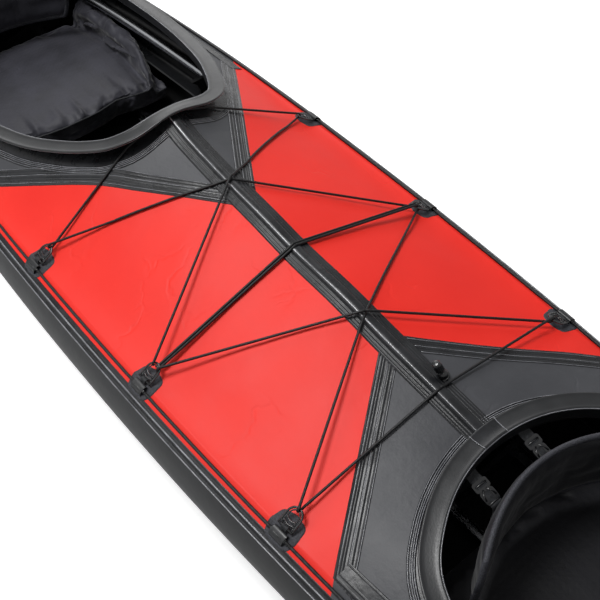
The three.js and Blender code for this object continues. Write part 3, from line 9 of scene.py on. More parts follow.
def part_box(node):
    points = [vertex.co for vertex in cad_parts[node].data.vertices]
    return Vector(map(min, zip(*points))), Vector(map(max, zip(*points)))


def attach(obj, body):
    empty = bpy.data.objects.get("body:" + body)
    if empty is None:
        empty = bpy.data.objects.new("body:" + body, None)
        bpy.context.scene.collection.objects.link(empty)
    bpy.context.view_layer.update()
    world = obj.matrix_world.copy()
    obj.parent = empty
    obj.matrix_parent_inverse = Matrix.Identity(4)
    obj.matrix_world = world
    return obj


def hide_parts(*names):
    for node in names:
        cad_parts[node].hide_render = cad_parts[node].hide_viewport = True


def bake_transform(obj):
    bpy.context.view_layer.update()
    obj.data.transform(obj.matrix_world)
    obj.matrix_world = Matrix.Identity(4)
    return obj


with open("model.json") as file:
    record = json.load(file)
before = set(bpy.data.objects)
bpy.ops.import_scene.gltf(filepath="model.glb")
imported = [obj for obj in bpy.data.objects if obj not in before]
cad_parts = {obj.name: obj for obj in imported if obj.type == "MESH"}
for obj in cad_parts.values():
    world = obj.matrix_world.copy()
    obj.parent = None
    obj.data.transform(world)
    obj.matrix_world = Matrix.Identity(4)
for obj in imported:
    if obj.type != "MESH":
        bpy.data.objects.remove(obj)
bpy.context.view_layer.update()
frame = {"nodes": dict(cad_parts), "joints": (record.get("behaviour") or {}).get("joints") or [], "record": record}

# Millimetres, as the hull is drawn. Meshes are turned into metres when they are made.
MM = 0.001

# Hull: lines in plan and in side view, and the corners of the half section amidships and at the ends,
# as shares of the beam and of the depth
HALF_LENGTH = 2550
HALF_BEAM = 421
STEM_HALF = 12
WIDEST_X = -250
PLAN_POWER = 2.15
SHEER = 250
KEEL = 3.3
BOW_RISE, STERN_RISE = 75, 50
BOW_ROCKER, STERN_ROCKER = 90, 70
KEEL_FLAT, ROCKER_POWER = 1300, 2.2
STEM_RAKE, RAKE_POWER = 200, 8
HULL_MID = [(0, 0), (.11, 0), (.42, .02), (.72, .1), (.865, .26), (.945, .44), (.981, .63), (.966, .78),
            (.935, .885)]
HULL_END = [(0, 0), (.09, .05), (.28, .2), (.46, .38), (.62, .54), (.76, .68), (.87, .79), (.92, .85),
            (.935, .885)]
# Deck: the share of the beam where the arch ends and where the cloth ends, its drop there, and the
# height of the arch over the sheer at the ridge's tips, in the cockpits and at the boat's ends
DECK_EDGE, DECK_OUTER, EDGE_DROP = .848, .9, 12
CROWN_TIP, CROWN_AFT, CROWN_END, TOE = 190, 62, 4, .8
# Cockpits: the front end of each, and the half outline as shares of the length aft and of the half width
REAR_TIP, FRONT_TIP = -316, 1565
COCKPIT_LENGTH, COCKPIT_WIDTH = 950, 524
COCKPIT_OUTLINE = [(0, 0), (.0025, .19), (.0095, .324), (.028, .435), (.046, .504), (.097, .618),
                   (.155, .721), (.219, .817), (.295, .893), (.4, .965), (.52, 1), (.66, 1),
                   (.768, .985), (.884, .86), (.945, .643), (.986, .342), (1, 0)]
LIP = 36
RIM_POINTS = 192
KEEL_STRIP = 1900
# Foot of the tape folded over each end of the boat, as a share of the depth
PATCH_FOOT = .78
# Colour changes of the deck: how far before and behind a cockpit they meet the ridge, and their slope
PANEL_FRONT, FRONT_SLOPE = 303, 1.62
PANEL_AFT, AFT_SLOPE = 270, .77
# Tapes over the colour changes: breadth, lap past the change, and their weld lines from that edge
TAPE, TAPE_LAP = 34, 2.5
TAPE_WELDS = (4, 9, 13.5, 20, 26, 32)
# Deck fittings along the boat, the line's share of the beam and the rings' tilt at rest
FITTINGS = {"rear": -289, "middle": 100, "front": 486}
LINE_SHARE, RING_TILT = .876, math.radians(30)
LINE_RADIUS, BUNGEE_RADIUS = 3, 2.5
SIDES = {"port": 1, "starboard": -1}
UP, TO_PORT = Vector((0, 0, 1)), Vector((0, 1, 0))
# Distances below which two corners are one, in metres
SEAM, CUT_SEAM = 2e-6, 5e-5


# Shape of the hull and deck


def lerp(a, b, t):
    return a + (b - a) * t


def clamp(value):
    return min(max(value, 0), 1)


def ease(t):
    t = clamp(t)
    return t * t * (3 - 2 * t)


def wobble(x, y, z):
    """Smooth noise between -1 and 1."""
    return noise.noise(Vector((x, y, z)))


def along_table(rows, x, column):
    """Value at x of rows that start with their x, on a smooth curve through them."""
    if x <= rows[0][0]:
        return rows[0][column]
    if x >= rows[-1][0]:
        return rows[-1][column]
    i = next(k for k in range(len(rows) - 1) if rows[k][0] <= x <= rows[k + 1][0])

    def slope(k):
        low, high = max(k - 1, 0), min(k + 1, len(rows) - 1)
        return (rows[high][column] - rows[low][column]) / (rows[high][0] - rows[low][0])

    span = rows[i + 1][0] - rows[i][0]
    t = (x - rows[i][0]) / span
    rise = rows[i + 1][column] - rows[i][column]
    start, end = slope(i) * span, slope(i + 1) * span
    return (rows[i][column] + start * t + (3 * rise - 2 * start - end) * t * t
            + (start + end - 2 * rise) * t ** 3)


def plan(x):
    reach = HALF_LENGTH - WIDEST_X if x > WIDEST_X else HALF_LENGTH + WIDEST_X
    return 1 - min(abs(x - WIDEST_X) / reach, 1) ** PLAN_POWER


def beam(x):
    return STEM_HALF + (HALF_BEAM - STEM_HALF) * plan(x)


def sheer(x):
    return SHEER + (BOW_RISE if x > 0 else STERN_RISE) * abs(x / HALF_LENGTH) ** 3


def keel(x):
    run = max(0, abs(x) - KEEL_FLAT) / (HALF_LENGTH - KEEL_FLAT)
    return KEEL + (BOW_ROCKER if x > 0 else STERN_ROCKER) * run ** ROCKER_POWER


def crown_rows():
    """Rows of x, height of the deck's arch over the sheer, and the power of the arch."""
    def between(start, end, shares, high, low):
        return [(lerp(start, end, f), lerp(low, high, share), power) for f, share, power in shares]

    rear_aft, front_aft = REAR_TIP - COCKPIT_LENGTH, FRONT_TIP - COCKPIT_LENGTH
    cockpit = [(.12, .98, 1.2), (.3, .97, 1.35), (.5, .8, 1.5), (.7, .49, 1.75), (.85, .22, 1.95)]
    ridge = [(.089, .82, 1.06), (.21, .66, 1.06), (.339, .547, 1.06), (.458, .42, 1.06), (.597, .359, 1.05),
             (.726, .234, 1.06), (.855, .125, 1.15), (.957, .031, 1.7)]
    stern = [(.3, .76, 1.6), (.6, .42, 1.3), (.85, .15, 1.2)]
    bow = [(.15, .86, 1.06), (.4, .54, 1.05), (.7, .22, 1.08), (.9, .06, 1.1)]
    rows = [(-HALF_LENGTH, CROWN_END, 1.15)]
    rows += between(rear_aft, -HALF_LENGTH, stern, CROWN_AFT, CROWN_END)
    rows += [(rear_aft, CROWN_AFT, 2)] + between(REAR_TIP, rear_aft, cockpit, CROWN_TIP, CROWN_AFT)
    rows += [(REAR_TIP, CROWN_TIP, 1.08)] + between(REAR_TIP, front_aft, ridge, CROWN_TIP, CROWN_AFT)
    rows += [(front_aft, CROWN_AFT, 2)] + between(FRONT_TIP, front_aft, cockpit, CROWN_TIP, CROWN_AFT)
    rows += [(FRONT_TIP, CROWN_TIP, 1.08)] + between(FRONT_TIP, HALF_LENGTH, bow, CROWN_TIP, CROWN_END)
    rows += [(HALF_LENGTH, CROWN_END, 1.15)]
    return sorted(rows)


CROWN = crown_rows()


def deck_height(x, y):
    """Height of the taut deck: an arch to the deck's edge, and the narrow fall outside it."""
    share = abs(y) / beam(x)
    if share >= DECK_EDGE:
        fade = min(1, 1.5 * plan(x) + .1)
        return sheer(x) - EDGE_DROP * fade * (share - DECK_EDGE) / (DECK_OUTER - DECK_EDGE)
    crown, power = along_table(CROWN, x, 1), along_table(CROWN, x, 2)
    t = share / DECK_EDGE
    toe = TOE * clamp(3.75 - 2.5 * power) * t ** 6
    return sheer(x) + crown * (1 - t ** power) * (1 - toe)


# Long soft folds of the deck cloth: both ends in plan, depth and half width
FOLDS = [(560, -60, 470, -235, 2.2, 22), (505, 60, 560, 190, 1.6, 20), (60, -250, -90, -120, 1.0, 26),
         (250, -210, 160, -330, 1.2, 20), (330, -90, 250, -240, .9, 30), (-180, -300, -40, -215, 1.0, 24),
         (330, 330, 180, 210, 1.1, 26), (-60, 330, 60, 230, 1.0, 24), (-30, 120, 60, 280, 1.0, 20)]


def wrinkle(x, y):
    """How far the slack of the cloth lifts it above its drawn shape."""
    edge = clamp((DECK_EDGE * beam(x) - abs(y)) / 60) * clamp(abs(y) / 45)
    place = Vector((x, y, 0))
    lift = .9 * noise.noise(place * .011) + .45 * noise.noise(place * .03 + Vector((9, 4, 2)))
    for x0, y0, x1, y1, depth, width in FOLDS:
        run = Vector((x1 - x0, y1 - y0))
        at = Vector((x - x0, y - y0))
        t = at.dot(run) / run.length_squared
        off = (at - run * clamp(t)).length / width
        if off < 3:
            lift += depth * math.exp(-off * off) * (1 - .8 * abs(2 * clamp(t) - 1))
    return lift * edge


def skin(x, y):
    """Height of the deck with the slack of its cloth."""
    return deck_height(x, y) + wrinkle(x, y)


def rake(x, height):
    """How far the stem at x leans in at a height, which is a share of the depth."""
    return STEM_RAKE * abs(x / HALF_LENGTH) ** RAKE_POWER * max(0, 1 - height / HULL_MID[-1][1]) ** 1.5


def hull_section(x):
    """Corners of the half section at x. The stems' lean moves the low ones along the boat."""
    sharp = abs(x / HALF_LENGTH) ** 2.5
    low, depth = keel(x), sheer(x) - keel(x)
    rows = []
    for (b0, h0), (b1, h1) in zip(HULL_MID, HULL_END):
        height = lerp(h0, h1, sharp)
        rows.append((x - math.copysign(rake(x, height), x), lerp(b0, b1, sharp) * beam(x),
                     low + height * depth))
    return rows


def spline(before, start, end, after, f):
    """Point at f of the smooth curve from start to end, which takes its slopes from both neighbours."""
    return .5 * (2 * start + (end - before) * f + (2 * before - 5 * start + 4 * end - after) * f * f
                 + (3 * start - before - 3 * end + after) * f ** 3)


def through(points, t):
    """Point at t, from 0 to 1, of a smooth curve through the points."""
    spans = len(points) - 1
    i = min(int(t * spans), spans - 1)
    f = t * spans - i
    return spline(*(Vector(points[k]) for k in (max(i - 1, 0), i, i + 1, min(i + 2, spans))), f)


def cockpit_curve(tip):
    """Inner outline of a cockpit as evenly spaced points in plan, with the way out at each."""
    side = [(tip - s * COCKPIT_LENGTH, w * COCKPIT_WIDTH / 2) for s, w in COCKPIT_OUTLINE]
    ring = side + [(x, -y) for x, y in side[-2:0:-1]]
    fine = []
    for k in range(len(ring)):
        corners = [Vector(ring[(k + d) % len(ring)]) for d in (-1, 0, 1, 2)]
        fine += [spline(*corners, step / 12) for step in range(12)]
    lengths = [0]
    for k in range(len(fine)):
        lengths.append(lengths[-1] + (fine[(k + 1) % len(fine)] - fine[k]).length)
    points = []
    k = 0
    for step in range(RIM_POINTS):
        goal = lengths[-1] * step / RIM_POINTS
        while lengths[k + 1] < goal:
            k += 1
        f = (goal - lengths[k]) / (lengths[k + 1] - lengths[k])
        points.append(fine[k].lerp(fine[(k + 1) % len(fine)], f))
    out = []
    for k in range(RIM_POINTS):
        run = points[(k + 1) % RIM_POINTS] - points[k - 1]
        out.append(Vector((run.y, -run.x)).normalized())
    middle = Vector((tip - COCKPIT_LENGTH / 2, 0))
    if out[RIM_POINTS // 4].dot(points[RIM_POINTS // 4] - middle) < 0:
        out = [-o for o in out]
    return points, out


TIPS = {"rear": REAR_TIP, "front": FRONT_TIP}
OUTLINES = {place: cockpit_curve(tip) for place, tip in TIPS.items()}


def around_cockpit(place, share, offset):
    """Point in plan at a share of the way round a cockpit and a distance outside its inner outline."""
    points, out = OUTLINES[place]
    at = (share % 1) * len(points)
    k = int(at) % len(points)
    f = at - int(at)
    point = points[k].lerp(points[(k + 1) % len(points)], f)
    way = out[k].lerp(out[(k + 1) % len(points)], f).normalized()
    return point + way * offset


def riser(tip, x):
    """Height of a coaming's wall over the deck at x."""
    rows = [(0, 30), (.3, 14), (.7, 14), (1, 20)]
    return along_table(rows, (tip - x) / COCKPIT_LENGTH, 1)


# Materials


def linear(code):
    """Linear colour of an sRGB hex value."""
    parts = [int(code[k:k + 2], 16) / 255 for k in (1, 3, 5)]
    return tuple(p / 12.92 if p <= .04045 else ((p + .055) / 1.055) ** 2.4 for p in parts) + (1,)


def add(tree, kind, inputs=None, **settings):
    """New shader node with its settings, and its inputs set or linked."""
    made = tree.nodes.new(kind)
    for name, value in settings.items():
        setattr(made, name, value)
    for name, value in (inputs or {}).items():
        if isinstance(value, bpy.types.NodeSocket):
            tree.links.new(value, made.inputs[name])
        else:
            made.inputs[name].default_value = value
    return made


def ramp(tree, factor, *stops):
    made = add(tree, "ShaderNodeValToRGB", {"Fac": factor})
    elements = made.color_ramp.elements
    while len(elements) < len(stops):
        elements.new(.5)
    for element, (place, colour) in zip(elements, stops):
        element.position = place
        element.color = colour if len(colour) == 4 else (*colour, 1)
    return made.outputs["Color"]


def grey(value):
    return (value, value, value, 1)


def surface_finish(name, low, high, roughness, patch=90, weave=None, bump=.2, bump_size=8, sheen=0,
                   metallic=0, specular=.5, stretch=(1, 1, 1), weave_bump=.25, uv=False, crease=None):
    """Procedural finish: two close colours in soft patches, uneven roughness, soft bumps, a weave and
    fine creases. Sizes are in millimetres."""
    material = bpy.data.materials.new(name)
    material.use_nodes = True
    tree = material.node_tree
    shader = tree.nodes["Principled BSDF"]
    place = add(tree, "ShaderNodeTexCoord").outputs["UV" if uv else "Object"]
    turned = add(tree, "ShaderNodeMapping", {"Vector": place, "Scale": stretch}).outputs["Vector"]
    patches = add(tree, "ShaderNodeTexNoise", {"Vector": turned, "Scale": 1000 / patch, "Detail": 5,
                                               "Roughness": .6}).outputs["Fac"]
    shader.inputs["Base Color"].default_value = linear(low)
    # For the welt and the weld beads the two colours lie far apart and the light one is painted highlight;
    # elsewhere the patches are random tone
    colour = ramp(tree, patches, (.32, linear(low)), (.68, linear(high)))
    tree.links.new(colour, shader.inputs["Base Color"])
    spread = add(tree, "ShaderNodeMapRange", {"Value": patches, "From Min": .3, "From Max": .7,
                                              "To Min": roughness[0], "To Max": roughness[1]})
    tree.links.new(spread.outputs["Result"], shader.inputs["Roughness"])
    shader.inputs["Metallic"].default_value = metallic
    shader.inputs["Specular IOR Level"].default_value = specular
    shader.inputs["Sheen Weight"].default_value = sheen
    shader.inputs["Sheen Roughness"].default_value = .4
    grain = add(tree, "ShaderNodeTexNoise", {"Vector": turned, "Scale": 1000 / bump_size, "Detail": 4})
    normal = add(tree, "ShaderNodeBump", {"Height": grain.outputs["Fac"], "Strength": bump,
                                          "Distance": .002}).outputs["Normal"]
    if crease:
        bent = add(tree, "ShaderNodeTexNoise", {"Vector": place, "Scale": 1500 / crease, "Detail": 3})
        pushed = add(tree, "ShaderNodeVectorMath", {0: bent.outputs["Color"], "Scale": crease * MM * 1.2},
                     operation="SCALE")
        moved = add(tree, "ShaderNodeVectorMath", {0: place, 1: pushed.outputs[0]}).outputs[0]
        cells = add(tree, "ShaderNodeTexVoronoi", {"Vector": moved, "Scale": 1000 / crease},
                    feature="DISTANCE_TO_EDGE").outputs["Distance"]
        line = add(tree, "ShaderNodeMapRange", {"Value": cells, "From Max": .05},
                   interpolation_type="SMOOTHSTEP")
        here = add(tree, "ShaderNodeMapRange", {"Value": patches, "From Min": .5, "From Max": .66}).outputs[0]
        normal = add(tree, "ShaderNodeBump", {"Height": line.outputs[0], "Strength": here, "Distance": .0006,
                                              "Normal": normal}).outputs["Normal"]
    if weave:
        bands = {"Vector": place, "Scale": 1000 / weave / 6.283 / 3.2, "Distortion": .6, "Detail": 1,
                 "Detail Scale": 2}
        threads = [add(tree, "ShaderNodeTexWave", bands, bands_direction=axis).outputs["Fac"]
                   for axis in ("X", "Y")]
        crossed = add(tree, "ShaderNodeMath", {0: threads[0], 1: threads[1]}, operation="MULTIPLY").outputs[0]
        normal = add(tree, "ShaderNodeBump", {"Height": crossed, "Strength": weave_bump, "Distance": .001,
                                              "Normal": normal}).outputs["Normal"]
    tree.links.new(normal, shader.inputs["Normal"])
    return material


# Polyester cloth calendered with a polyurethane film: smooth, a little glossy, even colour,
# with faint creases left from folding
RED_CLOTH = surface_finish("red coated polyester", "#f02c22", "#f63227", (.44, .52), patch=160, weave=3.2,
                           bump=.1, bump_size=14, specular=.25, weave_bump=.04, crease=150)
# The same cloth in charcoal: the film's grain gives a dull, slightly speckled grey
GREY_CLOTH = surface_finish("charcoal coated polyester", "#38393d", "#424347", (.46, .56), patch=110,
                            weave=3.2, bump=.18, bump_size=6, specular=.4, weave_bump=.1, crease=190)
# Hot-air welded polyurethane tape: darker and shinier than the cloth, brightest on its welds
SEAM_TAPE = surface_finish("welded polyurethane tape", "#18191b", "#26272a", (.22, .34), patch=40, bump=.15,
                           bump_size=9, specular=.32)
# Weld beads: the same film pressed smooth by the hot wheel, coloured much lighter than the tape as a painted
# highlight
BEAD_HIGHLIGHT = surface_finish("weld bead, painted highlight", "#5f6065", "#8c8d92", (.16, .3), patch=34, bump=.3, bump_size=12,
                      specular=.6)
# Painted highlight: the welt's side that faces the light, coloured light in streaky patches along it
WELT_HIGHLIGHT = surface_finish("welt, painted highlight", "#4a4b4f", "#b4b5ba", (.12, .24), patch=40, bump=.5, bump_size=8,
                      specular=.7, stretch=(.4, 1, 1))
# Hull skin of thick coated nylon, rolled smooth, with the sheen of rubber
HULL_SKIN = surface_finish("coated hull nylon", "#232425", "#2d2e30", (.4, .54), patch=140, bump=.25,
                           bump_size=18, specular=.4, crease=260)
# Inner face of the skin and deck: black and dull, so the boat is dark inside
LINING = surface_finish("black inner coating", "#060607", "#0a0a0b", (.6, .7), patch=140, bump=.2,
                        bump_size=12, specular=.2)
# Moulded rubber-covered rim: satin, with a soft bright edge
RIM = surface_finish("rubber covered rim", "#1a1b1d", "#232426", (.3, .42), patch=45, bump=.1, bump_size=3,
                     specular=.45)
# Air tube film: smooth and faintly glossy
AIR_FILM = surface_finish("air tube film", "#0e0f10", "#161719", (.22, .36), patch=80, bump=.3, bump_size=20,
                          specular=.4)
# Drawn aluminium tube, anodised: fine lines along it and a clear bright reflection
ALLOY = surface_finish("anodised aluminium tube", "#b9bbbf", "#c9cbcf", (.2, .3), patch=30, bump=.05,
                       bump_size=2, metallic=1, stretch=(.05, 1, 1))
# Frame plates of moulded polyethylene: dull black with a moulded grain
PLATE = surface_finish("moulded polyethylene plate", "#0c0c0d", "#131315", (.45, .58), patch=40, bump=.3,
                       bump_size=1.6, specular=.3)
# Seat covers of woven nylon: black, with the soft sheen of the weave in its folds
SEAT_CLOTH = surface_finish("woven nylon seat cover", "#2e2e34", "#3a3a42", (.5, .62), patch=70, weave=2.4,
                            bump=.25, bump_size=5, sheen=.3, specular=.3, weave_bump=.2)
# The front seat is deep in shade: the same cloth as a darker copy, its shade painted into the colour
SHADED_SEAT_CLOTH = surface_finish("woven nylon seat cover, painted shade", "#17171a", "#1e1e22", (.5, .62), patch=70,
                                 weave=2.4, bump=.25, bump_size=5, sheen=.15, specular=.25, weave_bump=.2)
# Polyester webbing and patches: coarse weave with a bright fleck
WEBBING = surface_finish("polyester webbing", "#101113", "#25272b", (.5, .65), patch=3, weave=1.8, bump=.5,
                         bump_size=1.5, sheen=.1, specular=.35, weave_bump=.5)
# Fitting patches: textured rubberised cloth with a pale speckle
PATCH = surface_finish("rubberised patch cloth", "#1a1b1f", "#494a51", (.5, .65), patch=2.4, bump=.6,
                       bump_size=1.6, specular=.35)
# Injection moulded nylon fittings: fine grain and bright edges
MOULDED = surface_finish("moulded nylon", "#0b0c0e", "#131417", (.17, .27), patch=14, bump=.1, bump_size=1.2,
                         specular=.7)
# Braided polyester over rubber strands: black, the braid shows as a fine twill
CORD = surface_finish("braided cord", "#0a0a0b", "#17181a", (.42, .55), patch=2.5, weave=2.2, bump=.3,
                      bump_size=2, specular=.35, weave_bump=.6, uv=True)

# The finish that each material slot of the frame gets, unless a piece names another
MATERIALS = {"hull_skin": HULL_SKIN, "red_deck": RED_CLOTH, "grey_deck": GREY_CLOTH, "seam_tape": SEAM_TAPE,
             "coaming_rim": RIM, "sponson_film": AIR_FILM, "frame_alloy": ALLOY, "frame_plate": PLATE,
             "cushion_cloth": SEAT_CLOTH, "webbing": WEBBING, "moulded_plastic": MOULDED, "cord": CORD}


# Mesh makers

# An edge of a sheet with a wall stays sharp over this angle, in degrees
SHARP = 50


def sheet(across, along, place, size=(1, 1)):
    """A grid of quads as a new mesh, its corners put where place(u, v) says, in millimetres.
    Its map has its real size, in metres."""
    bm = bmesh.new()
    bmesh.ops.create_grid(bm, x_segments=across, y_segments=along, size=1)
    layer = bm.loops.layers.uv.new("UVMap")
    for face in bm.faces:
        for loop in face.loops:
            loop[layer].uv = ((loop.vert.co.x + 1) / 2 * size[0], (loop.vert.co.y + 1) / 2 * size[1])
    for vert in bm.verts:
        vert.co = Vector(place((vert.co.x + 1) / 2, (vert.co.y + 1) / 2)) * MM
    return bm


def closed(bm, capped=False):
    """The mesh with its seams merged, its open ends filled if it is capped, and its faces outwards."""
    bmesh.ops.remove_doubles(bm, verts=bm.verts, dist=SEAM)
    if capped:
        bmesh.ops.holes_fill(bm, edges=[e for e in bm.edges if e.is_boundary], sides=0)
    bmesh.ops.recalc_face_normals(bm, faces=bm.faces)
    return bm


def facing(bm, way):
    """The open sheet with its faces turned so that on the whole they look the given way."""
    bmesh.ops.recalc_face_normals(bm, faces=bm.faces)
    if sum(f.normal.dot(way) * f.calc_area() for f in bm.faces) < 0:
        bmesh.ops.reverse_faces(bm, faces=bm.faces)
    return bm


def softened(bm, times=1):
    """The mesh with each corner drawn halfway to its neighbours, so many times."""
    for _ in range(times):
        bmesh.ops.smooth_vert(bm, verts=bm.verts, factor=.5, use_axis_x=True, use_axis_y=True,
                              use_axis_z=True)
    return bm


def joined(meshes):
    """All of the meshes as one."""
    whole = bmesh.new()
    for bm in meshes:
        carrier = emptied(bm, "carrier")
        whole.from_mesh(carrier)
        bpy.data.meshes.remove(carrier)
    return whole


def placed(name, data):
    """The data as a new object of the scene."""
    obj = bpy.data.objects.new(name, data)
    bpy.context.scene.collection.objects.link(obj)
    return obj


def emptied(bm, name):
    """The mesh as mesh data, and its editing form freed."""
    mesh = bpy.data.meshes.new(name)
    bm.to_mesh(mesh)
    bm.free()
    return mesh


def made(obj):
    """The object's mesh with its modifiers applied."""
    depsgraph = bpy.context.evaluated_depsgraph_get()
    mesh = bpy.data.meshes.new_from_object(obj.evaluated_get(depsgraph))
    obj.modifiers.clear()
    return mesh


def piece(name, bm, slot, body="boat", replaces=(), thickness=None, bevel=None, levels=0, split=None,
          lined=False, finish=None):
    """The mesh as an object of the boat, with its finish and its place in the frame."""
    mesh = emptied(bm, name)
    mesh.shade_smooth()
    if split:
        mesh.set_sharp_from_angle(angle=math.radians(split))
    obj = placed(name, mesh)
    mesh.materials.append(finish or MATERIALS[slot])
    if thickness:
        wall = obj.modifiers.new("wall", "SOLIDIFY")
        wall.thickness = thickness * MM
        wall.offset = -1
        if lined:
            mesh.materials.append(LINING)
            wall.material_offset = wall.material_offset_rim = 1
        obj.data = made(obj)
        obj.data.set_sharp_from_angle(angle=math.radians(SHARP))
    if bevel:
        edge = obj.modifiers.new("edge", "BEVEL")
        edge.width = bevel * MM
        edge.segments = 2
        edge.limit_method = "ANGLE"
        edge.angle_limit = math.radians(40)
    if levels:
        smooth = obj.modifiers.new("smooth", "SUBSURF")
        smooth.levels = smooth.render_levels = levels
    if body:
        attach(obj, body)
    if replaces:
        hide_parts(*replaces)
    return obj


def rod(points, radius, sides=12, flat=1.0, up=UP, loop=False):
    """A round or flattened bar along the points, its ends filled unless it is a loop."""
    count = len(points)
    if loop:
        points = points + [points[0]]
    total = sum((b - a).length for a, b in zip(points, points[1:]))
    frames = []
    for k, point in enumerate(points):
        if loop:
            before, after = points[(k - 1) % count], points[(k + 1) % count]
        else:
            before, after = points[max(k - 1, 0)], points[min(k + 1, count - 1)]
        way = (after - before).normalized()
        side = up.cross(way)
        side = side.normalized() if side.length > .05 else (frames[-1][1] if frames else TO_PORT)
        frames.append((point, side, way.cross(side).normalized()))

    def place(u, v):
        point, side, over = frames[round(v * (len(points) - 1))]
        angle = 2 * math.pi * u
        wide = radius(v) if callable(radius) else radius
        return point + side * wide * math.cos(angle) + over * wide * flat * math.sin(angle)

    bm = sheet(sides, len(points) - 1, place, (.02, total * MM))
    return closed(bm, capped=not loop)


def bead(points, radius, loop=False):
    """Raised weld bead along the points, a little uneven."""
    return rod([p + UP * (.3 * noise.noise(p * .03)) for p in points], radius, 6, .7, loop=loop)


def copy_of(node):
    """The solid of a frame node as a clean mesh of its own."""
    bm = bmesh.new()
    bm.from_mesh(frame["nodes"][node].data)
    bmesh.ops.remove_doubles(bm, verts=bm.verts, dist=1e-5)
    bmesh.ops.dissolve_limit(bm, angle_limit=math.radians(.6), verts=bm.verts, edges=bm.edges)
    return bm


# Hull


def hull_point(u, v):
    """Outer skin: u runs from the starboard edge round the keel to port, v from stern to bow."""
    x = lerp(-HALF_LENGTH, HALF_LENGTH, v)
    rows = hull_section(x)
    side = 1 if u > .5 else -1
    corner = through([(r[0], r[1], r[2]) for r in rows], abs(2 * u - 1))
    lift = 1.2 * wobble(x * .004, side * 40, corner.z * .012) * clamp(corner.y / 60 - 3)
    return (corner.x, side * (corner.y + lift * .6), corner.z)


def make_hull():
    bm = facing(closed(sheet(72, 150, hull_point, (1, 5.1))), -UP)
    piece("hull_cover", bm, "hull_skin", replaces=["hull_skin"], thickness=1.5, lined=True)


def gunwale_point(side, u, v):
    """Point of the ribbed weld between the deck's outer edge and the hull."""
    x = lerp(-HALF_LENGTH + 6, HALF_LENGTH - 6, v)
    inner = Vector((DECK_OUTER * beam(x), deck_height(x, DECK_OUTER * beam(x))))
    hull = hull_section(x)[-1]
    outer = Vector((hull[1], hull[2]))
    along = outer - inner
    out = Vector((-along.y, along.x)).normalized()
    if out.x < 0:
        out = -out
    rib = math.exp(-((u - .38) / .12) ** 2) + .9 * math.exp(-((u - .86) / .1) ** 2)
    ripple = .15 * wobble(x * .03, side * 9, u * 3)
    edge = clamp(min(u, 1 - u) / .06)
    point = inner.lerp(outer, lerp(-.14, 1.12, u)) + out * ((1.0 + 2.1 * rib + ripple) * edge - .3)
    return Vector((x, side * point.x, point.y))


def gunwale_bands():
    for name, side in SIDES.items():
        bm = facing(sheet(30, 240, lambda u, v: gunwale_point(side, u, v), (.03, 5.1)), UP)
        piece("gunwale_weld_" + name, bm, "seam_tape", replaces=["gunwale_seam_" + name], thickness=1.2)
        beads = [bead([gunwale_point(side, u, k / 240) for k in range(241)], radius)
                 for u, radius in ((.38, 1.7), (.86, 1.4))]
        # Beads in a light finish: painted highlight along the gunwale's ribs
        piece("gunwale_bead_" + name, joined(beads), "seam_tape", finish=BEAD_HIGHLIGHT)


def keel_strip():
    """Wear strip welded along the keel. It lies on the skin and narrows to both ends."""
    def place(u, v):
        x = lerp(-KEEL_STRIP, KEEL_STRIP, v)
        half = lerp(9, 38, ease((KEEL_STRIP - abs(x)) / 260))
        y = lerp(-half, half, u)
        rows = hull_section(x)
        low = next(k for k in range(len(rows) - 1) if rows[k + 1][1] >= abs(y))
        share = (abs(y) - rows[low][1]) / max(rows[low + 1][1] - rows[low][1], 1e-6)
        z = lerp(rows[low][2], rows[low + 1][2], clamp(share))
        edge = clamp((half - abs(y)) / 2.5) * clamp((KEEL_STRIP - abs(x)) / 4)
        return (x, y, z - .2 - 2.4 * edge)
    bm = facing(sheet(20, 200, place, (.08, 3.8)), -UP)
    piece("keel_wear_strip", bm, "seam_tape", replaces=["keel_strip"], thickness=1.4)


def stem_patches():
    """Tape folded over both ends of the boat, where the deck, the gunwale tapes and the hull meet."""
    for name, end in (("bow", 1), ("stern", -1)):
        def place(u, v):
            turn = 2 * u - 1
            x = HALF_LENGTH + 1.4 - 52 * clamp((abs(turn) - .36) / .64)
            y = (beam(min(x, HALF_LENGTH)) * .97 + 2) * clamp(abs(turn) / .36) * math.copysign(1, turn)
            x *= end
            inner = max(-HALF_LENGTH, min(HALF_LENGTH, x))
            foot = lerp(keel(inner), sheer(inner), PATCH_FOOT)
            top = deck_height(inner, min(abs(y), .9 * beam(inner))) + 1.2
            return (x - end * rake(inner, lerp(PATCH_FOOT, 1, v)), y, lerp(foot, top, v))
        bm = facing(sheet(40, 10, place, (.12, .08)), Vector((end, 0, 0)))
        piece("stem_patch_" + name, bm, "seam_tape", thickness=1.4)


# Deck cloth

DECK_PITCH = 10


def deck_half(low, high, side, cuts):
    """Half of a deck panel, port or starboard, cut along its slanted edges."""
    columns = [0, .04, .08, .13, .19, .25, .31, .38, .45, .52, .58, .64, .7, .75, .79, .82, .84, .848,
               .862, .88, .9]
    shares = []
    for a, b in zip(columns, columns[1:]):
        shares += [a, (a + b) / 2]
    shares.append(columns[-1])
    last = len(shares) - 1

    def flat(u, v):
        x = lerp(low, high, v)
        return (x, side * shares[round(u * last)] * beam(x), 0)

    bm = sheet(last, round((high - low) / DECK_PITCH), flat)
    for start, slope, keep_above in cuts:
        bmesh.ops.bisect_plane(bm, geom=bm.verts[:] + bm.edges[:] + bm.faces[:], dist=1e-6,
                               plane_co=(start * MM, 0, 0), plane_no=(1, -slope * side, 0),
                               clear_inner=keep_above, clear_outer=not keep_above)
    return bm


def in_outline(point, outline):
    """Whether the outline goes round the point: a line from the point to the bow crosses it an odd
    number of times."""
    hits = 0
    for a, b in zip(outline, outline[1:] + outline[:1]):
        if (a.y > point.y) != (b.y > point.y):
            hits += point.x < a.x + (point.y - a.y) / (b.y - a.y) * (b.x - a.x)
    return hits % 2 == 1


